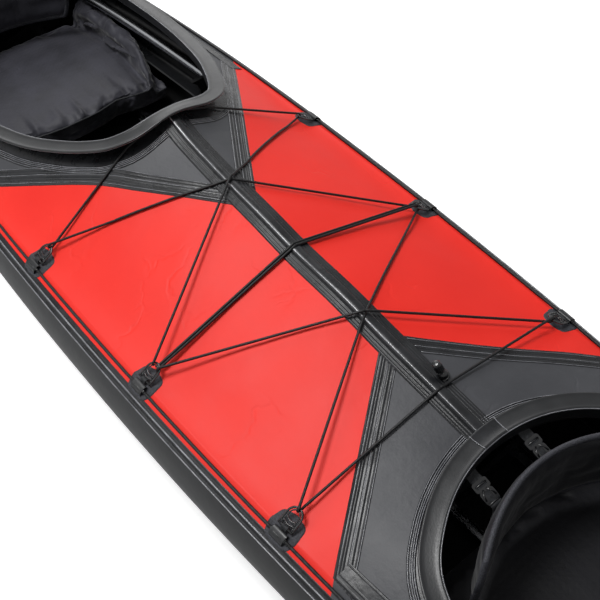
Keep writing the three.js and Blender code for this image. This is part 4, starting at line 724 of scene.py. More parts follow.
def deck_panel(name, slot, node, low, high, sides, cuts, hole=None):
    """Deck cloth from low to high on the given sides, cut along slanted edges and round a cockpit."""
    bm = joined([deck_half(low, high, side, cuts) for side in sides])
    bmesh.ops.remove_doubles(bm, verts=bm.verts, dist=CUT_SEAM)
    if hole:
        outline = [around_cockpit(hole, k / 96, 9) * MM for k in range(96)]
        inside = [f for f in bm.faces if in_outline(f.calc_center_median(), outline)]
        bmesh.ops.delete(bm, geom=inside, context="FACES")
    for vert in bm.verts:
        vert.co.z = skin(vert.co.x / MM, vert.co.y / MM) * MM
    piece(name, facing(bm, UP), slot, replaces=[node], thickness=1.4, lined=True)


def colour_changes(place):
    """Where the colour changes before and behind a cockpit meet the ridge."""
    return TIPS[place] + PANEL_FRONT, TIPS[place] - COCKPIT_LENGTH - PANEL_AFT


def deck_cloth():
    rear_front, rear_aft = colour_changes("rear")
    front_front, front_aft = colour_changes("front")
    for name, side in SIDES.items():
        deck_panel("deck_red_" + name, "red_deck", "deck_middle_" + name, -760, 720, [side],
                   [(rear_front, -FRONT_SLOPE, True), (front_aft, AFT_SLOPE, False)])
    for place in TIPS:
        fore, aft = colour_changes(place)
        deck_panel("deck_grey_" + place, "grey_deck", f"deck_{place}_cockpit", aft - 10, fore + 10, [1, -1],
                   [(fore, -FRONT_SLOPE, False), (aft, AFT_SLOPE, True)], hole=place)
    deck_panel("deck_red_bow", "red_deck", "deck_bow", front_front - 480, HALF_LENGTH, [1, -1],
               [(front_front, -FRONT_SLOPE, True)])
    deck_panel("deck_red_stern", "red_deck", "deck_stern", -HALF_LENGTH, rear_aft + 260, [1, -1],
               [(rear_aft, AFT_SLOPE, False)])


# Welded tapes


def welds(across, width, lines, height):
    """Height of a tape above the cloth at a distance across it, with its weld lines."""
    edge = clamp(min(across, width - across) / 1.5)
    return -.8 + 2.0 * edge + height * sum(math.exp(-((across - line) / .8) ** 2) for line in lines)


def panel_tape(place):
    """Tape over both colour changes of a grey panel and along its outer edges. It starts a little
    outside the colour change, which it covers."""
    fore, aft = colour_changes(place)
    width = TAPE + TAPE_LAP
    arms, beads = [], []
    for side in (1, -1):
        for start, slope, lean in ((fore, -FRONT_SLOPE, -1), (aft, AFT_SLOPE, 1)):
            reach = math.hypot(1, slope)

            def arm(u, v, start=start, slope=slope, lean=lean, reach=reach, side=side):
                across = u * width
                y = lerp(22, .846 * beam(start + slope * 340), v)
                x = start + slope * y + lean * (across - TAPE_LAP) * reach
                z = skin(x, side * y) + welds(across, width, TAPE_WELDS, .8)
                z += .12 * wobble(x * .06, y * .06, across * .3)
                return (x, side * y, z)
            arms.append(sheet(52, 90, arm, (.036, .6)))
            for line in (6, 21, 34):
                beads.append(bead([Vector(arm(line / width, .03 + k / 66)) for k in range(61)], .75))
        edge_low, edge_high = aft + AFT_SLOPE * 330, fore - FRONT_SLOPE * 330

        def along_edge(u, v, side=side, low=edge_low, high=edge_high):
            x = lerp(low, high, v)
            y = DECK_EDGE * beam(x) - 1 - u * TAPE
            return (x, side * y, skin(x, side * y) + .9 + welds(u * TAPE, TAPE, (3.5, 11, 30), .6))
        arms.append(sheet(44, 120, along_edge, (.034, 1.2)))
    bm = joined(arms)
    bmesh.ops.recalc_face_normals(bm, faces=bm.faces)
    for face in bm.faces:
        if face.normal.z < 0:
            face.normal_flip()
    piece("panel_weld_" + place, bm, "seam_tape", replaces=["panel_seam_" + place], thickness=1)
    # Beads in a light finish: painted highlight on the tape's weld lines
    piece("panel_bead_" + place, joined(beads), "seam_tape", finish=BEAD_HIGHLIGHT)


def ridge_band():
    """Ridge strip: flat welded bands each side of a round welt."""
    low, high = REAR_TIP + 20, FRONT_TIP - COCKPIT_LENGTH - 12
    half, weld_lines = 28.5, (14.5, 20.5, 26)

    def place(u, v):
        x = lerp(low, high, v)
        y = lerp(-half, half, u)
        edge = clamp((half - abs(y)) / 1.5)
        welt = 5 * math.sqrt(max(0, 1 - (y / 10.5) ** 2))
        lines = .9 * sum(math.exp(-((abs(y) - line) / 1.4) ** 2) for line in weld_lines)
        ripple = .5 * wobble(x * .014, y * .05, 3)
        return (x, y, deck_height(x, max(abs(y), 6)) + 1.4 * edge - .2 + welt + lines + ripple)
    # Drawn as its lower face, so that the wall adds its thickness on top
    bm = facing(sheet(76, 150, place, (.057, .9)), -UP)
    piece("ridge_weld", bm, "seam_tape", replaces=["ridge_strip"], thickness=1.2)

    def along(y, lift, radius):
        rows = [lerp(low, high, k / 120) for k in range(121)]
        return bead([Vector((x, y, deck_height(x, max(abs(y), 6)) + lift)) for x in rows], radius)
    beads = [along(side * y, 2, .8) for side in (-1, 1) for y in weld_lines]
    # Beads in a light finish: painted highlight on the strip's weld lines
    piece("ridge_bead", joined(beads), "seam_tape", finish=BEAD_HIGHLIGHT)
    # A thin bar on the welt's near side that carries a painted highlight stripe
    piece("ridge_shine", along(-6.4, 5, 2.2), "seam_tape", finish=WELT_HIGHLIGHT)


def coaming_weld(place):
    """Welded flange at the foot of a coaming, with its ring of weld lines."""
    def at(u, v):
        across = 5 + u * 46
        x, y = around_cockpit(place, v, across)
        z = skin(x, y) + 2 * clamp((51 - across) / 1.5) - .8
        z += 1.2 * sum(math.exp(-((across - line) / .8) ** 2) for line in (37.5, 41, 44.5, 48))
        return (x, y, z)
    bm = facing(closed(sheet(92, RIM_POINTS, at, (.05, 2.6))), UP)
    piece("coaming_weld_" + place, bm, "seam_tape", thickness=.8)
    beads = []
    for line in (38.5, 41.6, 44.7, 48.5):
        foot = [around_cockpit(place, k / RIM_POINTS, line) for k in range(RIM_POINTS)]
        beads.append(bead([Vector((p.x, p.y, skin(p.x, p.y) + 2)) for p in foot], .8, loop=True))
    # Beads in a light finish: painted highlight on the flange's weld lines
    piece("coaming_bead_" + place, joined(beads), "seam_tape", finish=BEAD_HIGHLIGHT)


def coaming(place):
    """Rim of a cockpit: wall, rolled inner edge, flat lip with a bead along its outer edge. The lip
    runs in one smooth curve over the deck's ridge."""
    count = RIM_POINTS
    tops, rims = [], []
    for k in range(count):
        inner, wall, outer = (around_cockpit(place, k / count, d) for d in (0, 4, LIP))
        tops.append(deck_height(*wall) + riser(TIPS[place], inner.x))
        rims.append(max(tops[-1] - 2, deck_height(*outer) + 7))

    def eased(rows, k):
        weights = [(d, math.exp(-(d / 3.2) ** 2 / 2)) for d in range(-9, 10)]
        return sum(rows[(k + d) % count] * w for d, w in weights) / sum(w for d, w in weights)
    tops = [eased(tops, k) for k in range(count)]
    rims = [eased(rims, k) for k in range(count)]

    def at(u, v):
        k = round(v * count) % count
        foot = deck_height(*around_cockpit(place, v, 4))
        dip = 9 * math.exp(-(min(k, count - k) / 5) ** 2)
        top, rim = tops[k] - dip, rims[k]
        fall = (rim - top) / LIP
        # Distances outside the inner outline, and heights: up the wall, over the lip and back
        profile = [(0, foot - 14), (0, top - 6), (.4, top - 2.6), (2, top - .4), (4.4, top + .2),
                   (7, top - .3 + 6.5 * fall), (9, top - 1.2 + 9 * fall), (20, top - 1.6 + 20 * fall),
                   (29, rim - 1.3), (31.5, rim - .2), (33.6, rim), (35.4, rim - .8), (36, rim - 2.4),
                   (35.2, rim - 4.2), (33, rim - 5), (10, top - 5.6 + 10 * fall), (6, top - 7), (4, top - 10),
                   (4, foot - 14), (0, foot - 14)]
        out, height = profile[round(u * (len(profile) - 1))]
        return (*around_cockpit(place, v, out), height)
    bm = closed(sheet(19, count, at, (.12, 2.6)))
    piece("coaming_rim_" + place, bm, "coaming_rim", replaces=["coaming_" + place], levels=1)
    # Beads along the lip's outer and inner edges, in a light finish: painted highlight
    edges = []
    for share, d, up, radius in ((13 / 19, 34, -.3, 1.1), (3 / 19, 1.4, -.9, 1.1)):
        edges.append(bead([Vector((*around_cockpit(place, k / count, d), at(share, k / count)[2] + up))
                           for k in range(count)], radius, loop=True))
    piece("coaming_edge_" + place, joined(edges), "coaming_rim", finish=BEAD_HIGHLIGHT)

    def joint(u, v):
        x, y, z = at(lerp(3, 13, u) / 19, (count / 2 - 2 + round(4 * v)) / count)
        return (x, y, z + .9)
    wrap = facing(sheet(10, 4, joint), UP)
    ends = [bead([Vector(joint(k / 10, end)) for k in range(11)], .8) for end in (0, 1)]
    piece("coaming_joint_" + place, wrap, "coaming_rim", thickness=.8, finish=SEAM_TAPE)
    # Beads at the joint's ends, in a light finish: painted highlight
    piece("coaming_joint_bead_" + place, joined(ends), "coaming_rim", finish=BEAD_HIGHLIGHT)


# Deck fittings


def fitting_frame(x, side):
    """A ring's hinge, the ways along the line and inboard there, and the line's place."""
    line_y = LINE_SHARE * beam(x)
    along = Vector((1, side * (LINE_SHARE * beam(x + 1) - line_y), 0)).normalized()
    inboard = Vector((-along.y, along.x, 0)) * -side
    hinge = next(j["pos_m"] for j in frame["joints"] if j["name"].endswith("_swing")
                 and abs(j["pos_m"][0] / MM - x) < 2 and j["pos_m"][1] * side > 0)
    return Vector(hinge) / MM, along, inboard, Vector((x, side * line_y, 0))


def pad_reach(angle):
    """Reach of a fitting's pad at an angle from inboard: a rounded square, shorter to the gunwale."""
    across, along = math.cos(angle), math.sin(angle)
    wide = 32 if across > 0 else 23
    return (abs(across / wide) ** 3 + abs(along / 31) ** 3) ** (-1 / 3) + .7 * math.cos(8 * angle)


def fitting(place, name, x, side):
    """Cloth pad welded on the deck, with the barrel that the line runs through and the strap that
    holds the ring."""
    hinge, along, inboard, line = fitting_frame(x, side)
    middle = line + inboard * 10

    def on_deck(point):
        over = abs(point.y) / beam(point.x)
        return skin(point.x, point.y) + 2.6 * ease((over - .885) / .02)

    def pad(u, v):
        angle = 2 * math.pi * v
        reach = pad_reach(angle) * u
        point = middle + inboard * (math.cos(angle) * reach) + along * (math.sin(angle) * reach)
        swell = 1.6 * clamp((1 - u) * 14) ** .5
        return (point.x, point.y, on_deck(point) + .2 + swell)
    cloth = sheet(22, 96, pad, (.03, .18))
    rest = skin(line.x, line.y)

    def sleeve(u, v):
        """Webbing that covers the barrel, from the pad over it and back."""
        angle = math.pi * u
        lift = max(0, math.sin(angle)) ** .7 * 10.6
        point = line + along * lerp(-15, 15, v) + inboard * (8.6 * math.cos(angle))
        return (point.x, point.y, on_deck(point) + 1.6 + lift)

    def barrel(u, v):
        """Moulded end rings that show at both ends of the sleeve."""
        angle = 2 * math.pi * u
        wall = 5.6 if .25 < v < .75 else 3.6
        end = lerp(-17, 17, clamp(v * 2 - .5))
        point = line + along * end + inboard * (wall * math.cos(angle))
        return (point.x, point.y, rest + 5.6 + wall * math.sin(angle))

    def keeper(u, v):
        """Narrow webbing loop that holds the ring's base bar down."""
        angle = math.pi * lerp(-.1, 1.1, v)
        reach = 3.6 * math.cos(angle) * (1 + .8 * max(0, -math.sin(angle)))
        point = hinge + along * lerp(-6, 6, u) + inboard * reach
        return (point.x, point.y, hinge.z - 1.5 + 4.4 * max(-.8, math.sin(angle)))
    cover, strap = sheet(20, 12, sleeve, (.03, .03)), sheet(8, 16, keeper, (.02, .02))
    for bm in (cover, strap, cloth):
        bmesh.ops.recalc_face_normals(bm, faces=bm.faces)
    piece(f"pad_{place}_{name}", closed(cloth), "webbing", replaces=[f"fitting_{place}_{name}"],
          thickness=1.2, finish=PATCH)
    piece(f"line_sleeve_{place}_{name}", cover, "moulded_plastic", thickness=1.2, finish=RIM)
    piece(f"line_guide_{place}_{name}", closed(sheet(20, 8, barrel, (.02, .03))), "moulded_plastic")
    piece(f"ring_strap_{place}_{name}", strap, "webbing", thickness=1.3)


def ring_place(x, side):
    """A ring's hinge, the way along its base bar, the way to its arc, and the way off its face."""
    hinge, along, inboard, _ = fitting_frame(x, side)
    pull = inboard * math.cos(RING_TILT) + UP * math.sin(RING_TILT)
    normal = UP * math.cos(RING_TILT) - inboard * math.sin(RING_TILT)
    return hinge, along, pull, normal


def ring(place, name, x, side):
    """Moulded ladder ring: base bar, a double arc that joins at its top, two bowed crossbars and
    small square windows at both ends of the lower one."""
    hinge, along, pull, normal = ring_place(x, side)

    def at(a, b):
        return hinge + along * a + pull * b

    def arch(half, foot, centre, top):
        points = [at(-half, foot), at(-half, (foot + centre) / 2)]
        for k in range(17):
            angle = math.pi * (1 - k / 16)
            points.append(at(half * math.cos(angle), centre + (top - centre) * math.sin(angle)))
        return points + [at(half, (foot + centre) / 2), at(half, foot)]

    def bow(half, ends, middle):
        return [at(lerp(-half, half, k / 12), lerp(ends, middle, math.sin(math.pi * k / 12)))
                for k in range(13)]

    outlines = [(arch(15, -1, 20, 37.4), 2.1, 10, .85), (arch(10.3, 9, 20, 33.6), 1.35, 8, .9),
                ([at(-16.4, 0), at(16.4, 0)], 2.1, 10, 1), (bow(10.6, 9.4, 6.2), 1.35, 8, 1),
                (bow(10, 16.4, 13), 1.35, 8, 1)]
    for end in (-1, 1):
        for height in (5.2, 9.6):
            outlines.append(([at(end * 10.2, height), at(end * 15, height)], 1.2, 8, 1))
        outlines.append(([at(end * 10.4, 5), at(end * 10.4, 10)], 1.2, 8, 1))
    bars = [rod(*outline, normal) for outline in outlines]
    piece(f"deck_ring_{place}_{name}", joined(bars), "moulded_plastic", body=f"ring_{place}_{name}",
          replaces=[f"ring_{place}_{name}"])


# A ring's arc, how far from its hinge a bungee turns round it and how that falls off along the arc, and
# the turn's radius
ARC_RADIUS, ARC_REACH, ARC_EASE, TURN_RADIUS = 17, 37.8, 1.6, 5.6


def ring_turn(x, side, shift, over_first):
    """Turn of a bungee round a ring's arc, over it and out under it, or the other way."""
    hinge, along, pull, normal = ring_place(x, side)
    fall = ARC_RADIUS - math.sqrt(ARC_RADIUS ** 2 - shift ** 2)
    centre = hinge + pull * (ARC_REACH - ARC_EASE * fall) + along * shift
    turn = [centre - normal * TURN_RADIUS * math.sin(math.pi * f) - pull * TURN_RADIUS * math.cos(math.pi * f)
            for f in (-.5, -.33, -.17, 0, .17, .33, .5)]
    return turn if over_first else turn[::-1]


def span(ring_end, over):
    """Points of a bungee from just past a ring to where it crosses the ridge, on the deck between."""
    points = []
    for k in range(1, 44):
        point = ring_end.lerp(over, k / 44)
        lowest = skin(point.x, point.y) + 4.6
        points.append(Vector((point.x, point.y, max(point.z, lowest))))
    return points + [over]


def over_ridge(x, level=0):
    """Where a bungee lies on the welt, or at level 1 on another bungee."""
    return Vector((x, 0, deck_height(x, 6) + 9 + level * 5.6))


def bungees():
    """Two bungees. Each is drawn as straight runs from a ring's arc to the ridge, one set for
    each ring."""
    rear, middle, front = FITTINGS.values()
    first, second = lerp(rear, middle, .49), lerp(middle, front, .51)
    for_ring = {(place, name): [] for place in FITTINGS for name in SIDES}
    for name, side in SIDES.items():
        port = name == "port"
        level = 0 if port else 1
        for place, shift, over_first, goal in (
                ("middle", -6.4, port, over_ridge(first, level)),
                ("middle", -.5, not port, over_ridge(middle - 2.7)),
                ("middle", 4.9, not port, over_ridge(middle + 2.7)),
                ("middle", 9.5, port, over_ridge(second, level)),
                ("rear", 0, port, over_ridge(first, 1 - level)),
                ("front", 0, port, over_ridge(second, 1 - level)),
                ("front", 0, not port, over_ridge(front))):
            turn = ring_turn(FITTINGS[place], side, shift, over_first)
            for_ring[place, name].append(rod(turn[3:] + span(turn[-1], goal), BUNGEE_RADIUS, 10))
        # The rear bungee also goes round the foot of the rear coaming
        turn = ring_turn(rear, side, 0, not port)
        tucked = []
        for share, back in ((1.8, 10), (.8, 1.25), (0, 0)):
            x, y = REAR_TIP + 11.5 - back, side * share * 57
            tucked.append(Vector((x, y, skin(x, y) + 5)))
        run = turn[3:] + span(turn[-1], tucked[0])[:-1] + tucked
        for_ring["rear", name].append(rod(run, BUNGEE_RADIUS, 10))
    for (place, name), rods in for_ring.items():
        obj = piece(f"bungee_{place}_{name}", joined(rods), "cord", body=None,
                    replaces=["bungee_front" if place == "front" else "bungee_rear"]
                    + (["bungee_front"] if place == "middle" else []))
        hinge, _, pull, _ = ring_place(FITTINGS[place], SIDES[name])
        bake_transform(obj)


def perimeter():
    """The line round the deck, through the guides of every fitting and over both ends."""
    last = 2320
    stations = {lerp(-last, last, k / 90) for k in range(91)}
    stations |= {x + d for x in FITTINGS.values() for d in (-20, 20)}
    rows = sorted(stations)

    def at(x, side):
        y = side * LINE_SHARE * beam(x)
        near = min(abs(x - f) for f in FITTINGS.values())
        return Vector((x, y, deck_height(x, y) + 3.2 + 1.6 * ease((45 - near) / 20)))

    def over_end(sign):
        points = []
        for k in range(1, 8):
            share = lerp(-1, 1, k / 8) * sign
            x = sign * (last + 60 * (1 - share * share))
            y = share * LINE_SHARE * beam(x)
            points.append(Vector((x, y, deck_height(x, y) + 9)))
        return points
    points = [at(x, -1) for x in rows] + over_end(1) + [at(x, 1) for x in reversed(rows)] + over_end(-1)
    piece("deck_line", rod(points, LINE_RADIUS, 10, loop=True), "cord", replaces=["perimeter_line"])


# Seats


def swollen(bm, voxel, pressure, cap, held, slack):
    """The closed mesh filled like a cushion: its cloth is cut a little large, held along its edges
    and swollen, and no point moves further than the cap. Returns a mesh in metres."""
    obj = placed("stuffing", emptied(bm, "stuffing"))
    even = obj.modifiers.new("even", "REMESH")
    even.mode = "VOXEL"
    even.voxel_size = voxel * MM
    obj.data = made(obj)
    start = [v.co.copy() for v in obj.data.vertices]
    group = obj.vertex_groups.new(name="held")
    for k, co in enumerate(start):
        weight = clamp(held(co / MM))
        if weight > 0:
            group.add([k], weight, "REPLACE")
    cloth = obj.modifiers.new("cloth", "CLOTH")
    for name, value in (("vertex_group_mass", "held"), ("use_pressure", True),
                        ("uniform_pressure_force", pressure), ("shrink_min", -slack), ("quality", 5),
                        ("tension_stiffness", 15), ("compression_stiffness", 15),
                        ("bending_stiffness", .35)):
        setattr(cloth.settings, name, value)
    cloth.settings.effector_weights.gravity = 0
    cloth.collision_settings.use_collision = False
    cloth.point_cache.frame_end = 20
    for step in range(1, 21):
        bpy.context.scene.frame_set(step)
    obj.data = made(obj)
    bpy.context.scene.frame_set(1)
    for vert, co in zip(obj.data.vertices, start):
        move = vert.co - co
        if move.length > cap * MM:
            vert.co = co + move.normalized() * cap * MM
    settled = bmesh.new()
    settled.from_mesh(obj.data)
    bpy.data.objects.remove(obj)
    return settled


def forward_copy(bm, shift):
    other = bm.copy()
    bmesh.ops.translate(other, verts=other.verts, vec=(shift * MM, 0, 0))
    return other


# The seats are drawn as the rear one, and the front one is a copy moved forward
SEAT_AFT, SEAT_FRONT, SEAT_SIDE, SEAT_FOOT = -1210, -796, 270, 58
CREASE_Y = 214
# The front seat and its back band take the darker copy of the cloth: painted shade
SEATS = (("rear", 0, SEAT_CLOTH), ("front", FRONT_TIP - REAR_TIP, SHADED_SEAT_CLOTH))


def roll_edge(x):
    """Breadth and height of the top of a seat's side roll at x. It ends in a point at the front."""
    t = clamp((SEAT_FRONT - x) / 128) ** .9
    return lerp(222, 268, t), lerp(128, 190, t)


def seat_height(x, y):
    """Height of a seat's top: a nearly flat middle, and a roll along each side."""
    over = abs(y)
    edge_y, edge_z = roll_edge(x)
    along = clamp((x - SEAT_AFT) / (SEAT_FRONT - SEAT_AFT))
    top = 118 + 10 * math.sin(math.pi * clamp(along * .9 + .08)) + 5 * math.cos(math.pi * over / 2 / CREASE_Y)
    if over <= CREASE_Y:
        return top
    if over <= edge_y:
        return lerp(top, edge_z, math.sin(math.pi / 2 * (over - CREASE_Y) / (edge_y - CREASE_Y)) ** .6)
    return lerp(edge_z, 100, ease((over - edge_y) / 10))


def front_line(y):
    """Set-back of a seat's front edge at y: its seam isn't quite straight."""
    return 7 * (1 - math.cos(y / 40)) * clamp(1 - abs(y - 120) / 90) + 46 * ease((-y - 20) / 190) * .5


def seat_form():
    """Closed form of a seat before it is filled: its top, and straight walls down to its foot."""
    def top(u, v):
        x, y = lerp(SEAT_AFT, SEAT_FRONT, v), lerp(-SEAT_SIDE, SEAT_SIDE, u)
        return (x - front_line(y) * v ** 3, y, seat_height(x, y))

    bm = sheet(90, 60, top)
    grown = bmesh.ops.extrude_face_region(bm, geom=bm.faces[:])
    for vert in [g for g in grown["geom"] if isinstance(g, bmesh.types.BMVert)]:
        vert.co.z = SEAT_FOOT * MM
        vert.co.x -= 12 * MM * clamp((vert.co.x / MM - SEAT_FRONT + 60) / 40)
    bmesh.ops.recalc_face_normals(bm, faces=bm.faces)
    return bm


def seat_piping(x, y):
    """Nearness of a point to the seam round the seat's top."""
    edge = min(SEAT_FRONT + 4 - x, x - SEAT_AFT + 4, SEAT_SIDE + 4 - abs(y))
    return clamp(1 - edge / 14)


def dressed_seat(bm):
    """Sewn crease beside each roll, gathers behind the front seam and slack folds on the rolls."""
    softened(bm).normal_update()
    for vert in bm.verts:
        x, y = vert.co.x / MM, vert.co.y / MM
        if vert.normal.z < .15:
            continue
        back = SEAT_FRONT - front_line(y) - x
        crease_y = CREASE_Y + 5 * math.sin(x / 90)
        sink = 20 * math.exp(-((abs(y) - crease_y) / 7.5) ** 2) * clamp((back + 20) / 30)
        reach = 62 + 55 * wobble(y * .02, 5, 1)
        gather = math.exp(-(back / reach) ** 2) * clamp(back / 8)
        phase = y / 9.5 + 3 * wobble(y * .028, back * .006, 2)
        phase += back * .014 * wobble(y * .02, 1, 7)
        depth = (5 + 7 * wobble(y * .022, 8, 3)) * clamp((CREASE_Y - abs(y)) / 30)
        lift = gather * depth * math.sin(phase)
        if abs(y) > CREASE_Y:
            fold = wobble(x * .02, y * .045, 4)
            fold += .4 * wobble(x * .05, y * .02, 6)
            lift += 8 * fold * clamp((abs(y) - CREASE_Y) / 20)
        lift += 2.4 * wobble(x * .009, y * .006, 0) + .5 * noise.noise(Vector((x, y, 0)) * .04)
        vert.co += vert.normal * (lift - sink) * MM
    for vert in bm.verts:
        vert.co.z = max(vert.co.z, (SEAT_FOOT - 3) * MM)
    return bm


def seats():
    def held(co):
        return max(seat_piping(co.x, co.y), clamp((SEAT_FOOT + 12 - co.z) / 8))
    bm = dressed_seat(swollen(seat_form(), 5.5, 4, 8, held, .05))
    edge = []
    for k in range(97):
        y = lerp(-SEAT_SIDE + 8, SEAT_SIDE - 8, k / 96)
        x = SEAT_FRONT - front_line(y) + 1.5 + 1.5 * wobble(y * .035, 2, 9)
        edge.append(Vector((x, y, min(121, seat_height(x, y) - 3))))
    for place, shift, cloth in SEATS:
        cushion = piece("seat_pad_" + place, forward_copy(bm, shift), "cushion_cloth",
                        replaces=["seat_cushion_" + place], levels=1, finish=cloth)
        piece("seat_piping_" + place, rod([p + Vector((shift, 0, 0)) for p in edge], 2.2, 8), "webbing")
    bm.free()


# Back band: the middle of its face, half its breadth, and the heights of its foot and top
BAND_X, BAND_HALF, BAND_FOOT, BAND_TOP = REAR_TIP - COCKPIT_LENGTH + 76, 190, 190, 362


def band_point(a, b, out=0):
    """Point on a back band: a from side to side, b from foot to top, both from -1 to 1."""
    wide = a * math.sqrt(1 - .22 * b * b)
    high = b * math.sqrt(1 - .2 * a * a)
    top = BAND_TOP - 14 * wide * wide
    return Vector((BAND_X + 70 * wide * wide + out, BAND_HALF * wide, lerp(BAND_FOOT, top, (high + 1) / 2)))


def band_form():
    """Closed form of a back band before it is filled: two thin faces joined round their rim."""
    def face(sign):
        def at(u, v):
            a, b = 2 * u - 1, 2 * v - 1
            rim = max(abs(a), abs(b)) ** 5
            return band_point(a, b, sign * (2 + 8 * (1 - rim)))
        return sheet(40, 20, at)
    back = face(-1)
    bmesh.ops.reverse_faces(back, faces=back.faces)
    bm = joined([face(1), back])
    bmesh.ops.bridge_loops(bm, edges=[e for e in bm.edges if e.is_boundary])
    bmesh.ops.recalc_face_normals(bm, faces=bm.faces)
    return bm


def backrests():
    """Back bands: padded cloth, sewn across in two places, with webbing bound over the edge."""
    def held(co):
        high = (co.z - BAND_FOOT) / (BAND_TOP - BAND_FOOT) * 2 - 1
        rim = max(abs(co.y / BAND_HALF), abs(high))
        seam = max(math.exp(-((high - row) / .035) ** 2) for row in (-.34, .36))
        return max(clamp((rim - .9) / .06), seam)
    bm = softened(swollen(band_form(), 5, 5, 6, held, .02), 5)
    bound = []
    ribs = 370
    for k in range(ribs * 3):
        angle = 2 * math.pi * k / ribs / 3
        a, b = math.cos(angle), math.sin(angle)
        reach = 1 / max(abs(a), abs(b))
        soft = .94 + .06 * min(abs(a), abs(b)) * reach
        bound.append(band_point(a * reach * soft, b * reach * soft))
    binding = rod(bound, lambda v: 6.2 + .5 * math.cos(2 * math.pi * ribs * v), 10, .8, Vector((1, 0, 0)),
                  loop=True)
    for place, shift, cloth in SEATS:
        body = "backrest_" + place
        pad = piece("back_pad_" + place, forward_copy(bm, shift), "cushion_cloth", body=body,
                    replaces=[body], levels=1, finish=cloth)
        piece("back_binding_" + place, forward_copy(binding, shift), "webbing", body=body, finish=PATCH)
    bm.free()
    binding.free()


STRAP_WIDTH = 23


def flat_frame(middle, along, outer, inner):
    """Moulded flat frame: a plate with a window, from its outer to its inner half breadth and length."""
    def at(u, v):
        c, s = math.cos(2 * math.pi * v), math.sin(2 * math.pi * v)
        wide, long = (math.copysign(abs(way) ** .38, way) * lerp(o, i, u)
                      for way, o, i in zip((c, s), outer, inner))
        return middle + TO_PORT * wide + along * long
    return sheet(3, 48, at)


def straps():
    """Webbing that holds each back band, with a side-release buckle."""
    for place in TIPS:
        body = "backrest_" + place
        for hand, side in SIDES.items():
            low, high = (Vector(c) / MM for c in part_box(f"backrest_strap_{place}_{hand}"))
            y = side * 62
            start, bend = Vector((low.x + 2, y, high.z - 2)), Vector((low.x + 10, y, high.z - 5))
            foot, end = (Vector((high.x - 1.2, y, low.z + lift)) for lift in (30, 1))
            run = (foot - bend).normalized()
            over = run.cross(TO_PORT)
            over = over if over.z > 0 else -over
            middle = bend.lerp(foot, .52) + over * 1.5
            line = [start, bend, middle - run * 20, middle, middle + run * 18, foot, end]
            strap = sheet(6, 40, lambda u, v: through(line, v) + TO_PORT * STRAP_WIDTH * (u - .5),
                          (STRAP_WIDTH * MM, .1))
            web = piece(f"strap_{place}_{hand}", strap, "webbing", body=None,
                        replaces=[f"backrest_strap_{place}_{hand}"], thickness=1.6)
            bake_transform(web)
            shell = joined([flat_frame(middle - run * 12 + over * 2, run, (15.5, 9), (11, 4)),
                            flat_frame(middle + run * 9 + over * 2, run, (14, 12), (5.5, 9.5))])
            piece(f"buckle_{place}_{hand}", facing(shell, over), "moulded_plastic", body=body, thickness=5)

            def bar(radius, *places, lift):
                return rod([middle + run * a + TO_PORT * b + over * lift for a, b in places], radius, 8)
            tongues = [bar(1.9, (-4, s * 3), (4, s * 9), (13, s * 11), lift=1.5) for s in (-1, 1)]
            tongues += [bar(radius, (a, -12), (a, 12), lift=1) for radius, a in ((1.8, -13), (2.2, 20))]
            piece(f"buckle_tongue_{place}_{hand}", joined(tongues), "moulded_plastic", body=body)


# Valve


def turned(name, base, way, profile, body, replaces, flutes=0, sides=48):
    """Moulded round piece about an axis. The profile's rows are a distance up it, a radius and, where
    it is fluted, the flutes' depth."""
    side = way.cross(UP).normalized()
    over = way.cross(side)

    def at(u, v):
        up, radius, *cut = profile[round(v * (len(profile) - 1))]
        angle = 2 * math.pi * u
        radius -= sum(cut) * (.5 + .5 * math.cos(flutes * angle))
        return base + way * up + (side * math.cos(angle) + over * math.sin(angle)) * radius
    bm = closed(sheet(sides, len(profile) - 1, at))
    piece(name, bm, "moulded_plastic", body=body, replaces=replaces, split=40)


def valve():
    """Inflation valve, leaning aft and inboard: a ball that holds the stem, and a ribbed cap."""
    joint = next(j for j in frame["joints"] if j["name"] == "valve_cap_turn")
    way = Vector((-.19336, -.36754, .90969)).normalized()
    foot = Vector(joint["pos_m"]) / MM - way * 41
    ball = [(-3, 0), (-3, 11), (-.8, 11), (-.2, 10.4), (0, 8.2), (1.6, 9.3), (4.5, 9.8), (7.5, 9.2),
            (10.5, 7), (12.4, 5), (13, 4.8), (13, 5.8), (15.5, 5.8), (15.5, 4.4), (36, 4.4), (36, 0)]
    turned("valve_ball", foot, way, ball, "boat", ["valve_stem"])
    cap = [(17, 0), (17, 4.9), (17, 8), (17.6, 8.5), (19, 8.5), (19.2, 8.5, .8), (37, 8.1, .8), (37.2, 8.1),
           (39.4, 8), (40.4, 7.2), (41.4, 7), (42, 6.2), (43.4, 5.6), (43.8, 4.8), (43.9, 0)]
    turned("valve_top", foot, way, cap, "valve_cap", ["valve_cap"], 14, 112)


# Everything inside


def frame_pieces():
    """The tubes and sponsons made round, the plates with eased edges, and a finish for any other node."""
    slots = {p["node"]: p["material_slot"] for p in frame["record"]["subparts"]}
    for node, obj in frame["nodes"].items():
        if obj.hide_render:
            continue
        slot = slots[node]
        if "tube" in node or node.startswith("sponson"):
            piece(node + "_round", copy_of(node), slot, replaces=[node], levels=2)
        elif node.startswith("frame_") or node.startswith("stem"):
            piece(node + "_plate", copy_of(node), slot, replaces=[node], bevel=1.5, split=30)
        else:
            obj.data.materials.clear()
            obj.data.materials.append(MATERIALS[slot])


seats()
backrests()
straps()
valve()
make_hull()
gunwale_bands()
keel_strip()
stem_patches()
deck_cloth()
for cockpit in TIPS:
    panel_tape(cockpit)
    coaming_weld(cockpit)
    coaming(cockpit)
ridge_band()
for spot, where in FITTINGS.items():
    for hand, way in SIDES.items():
        fitting(spot, hand, where, way)
        ring(spot, hand, where, way)
bungees()
perimeter()
frame_pieces()

# Floor, light and camera


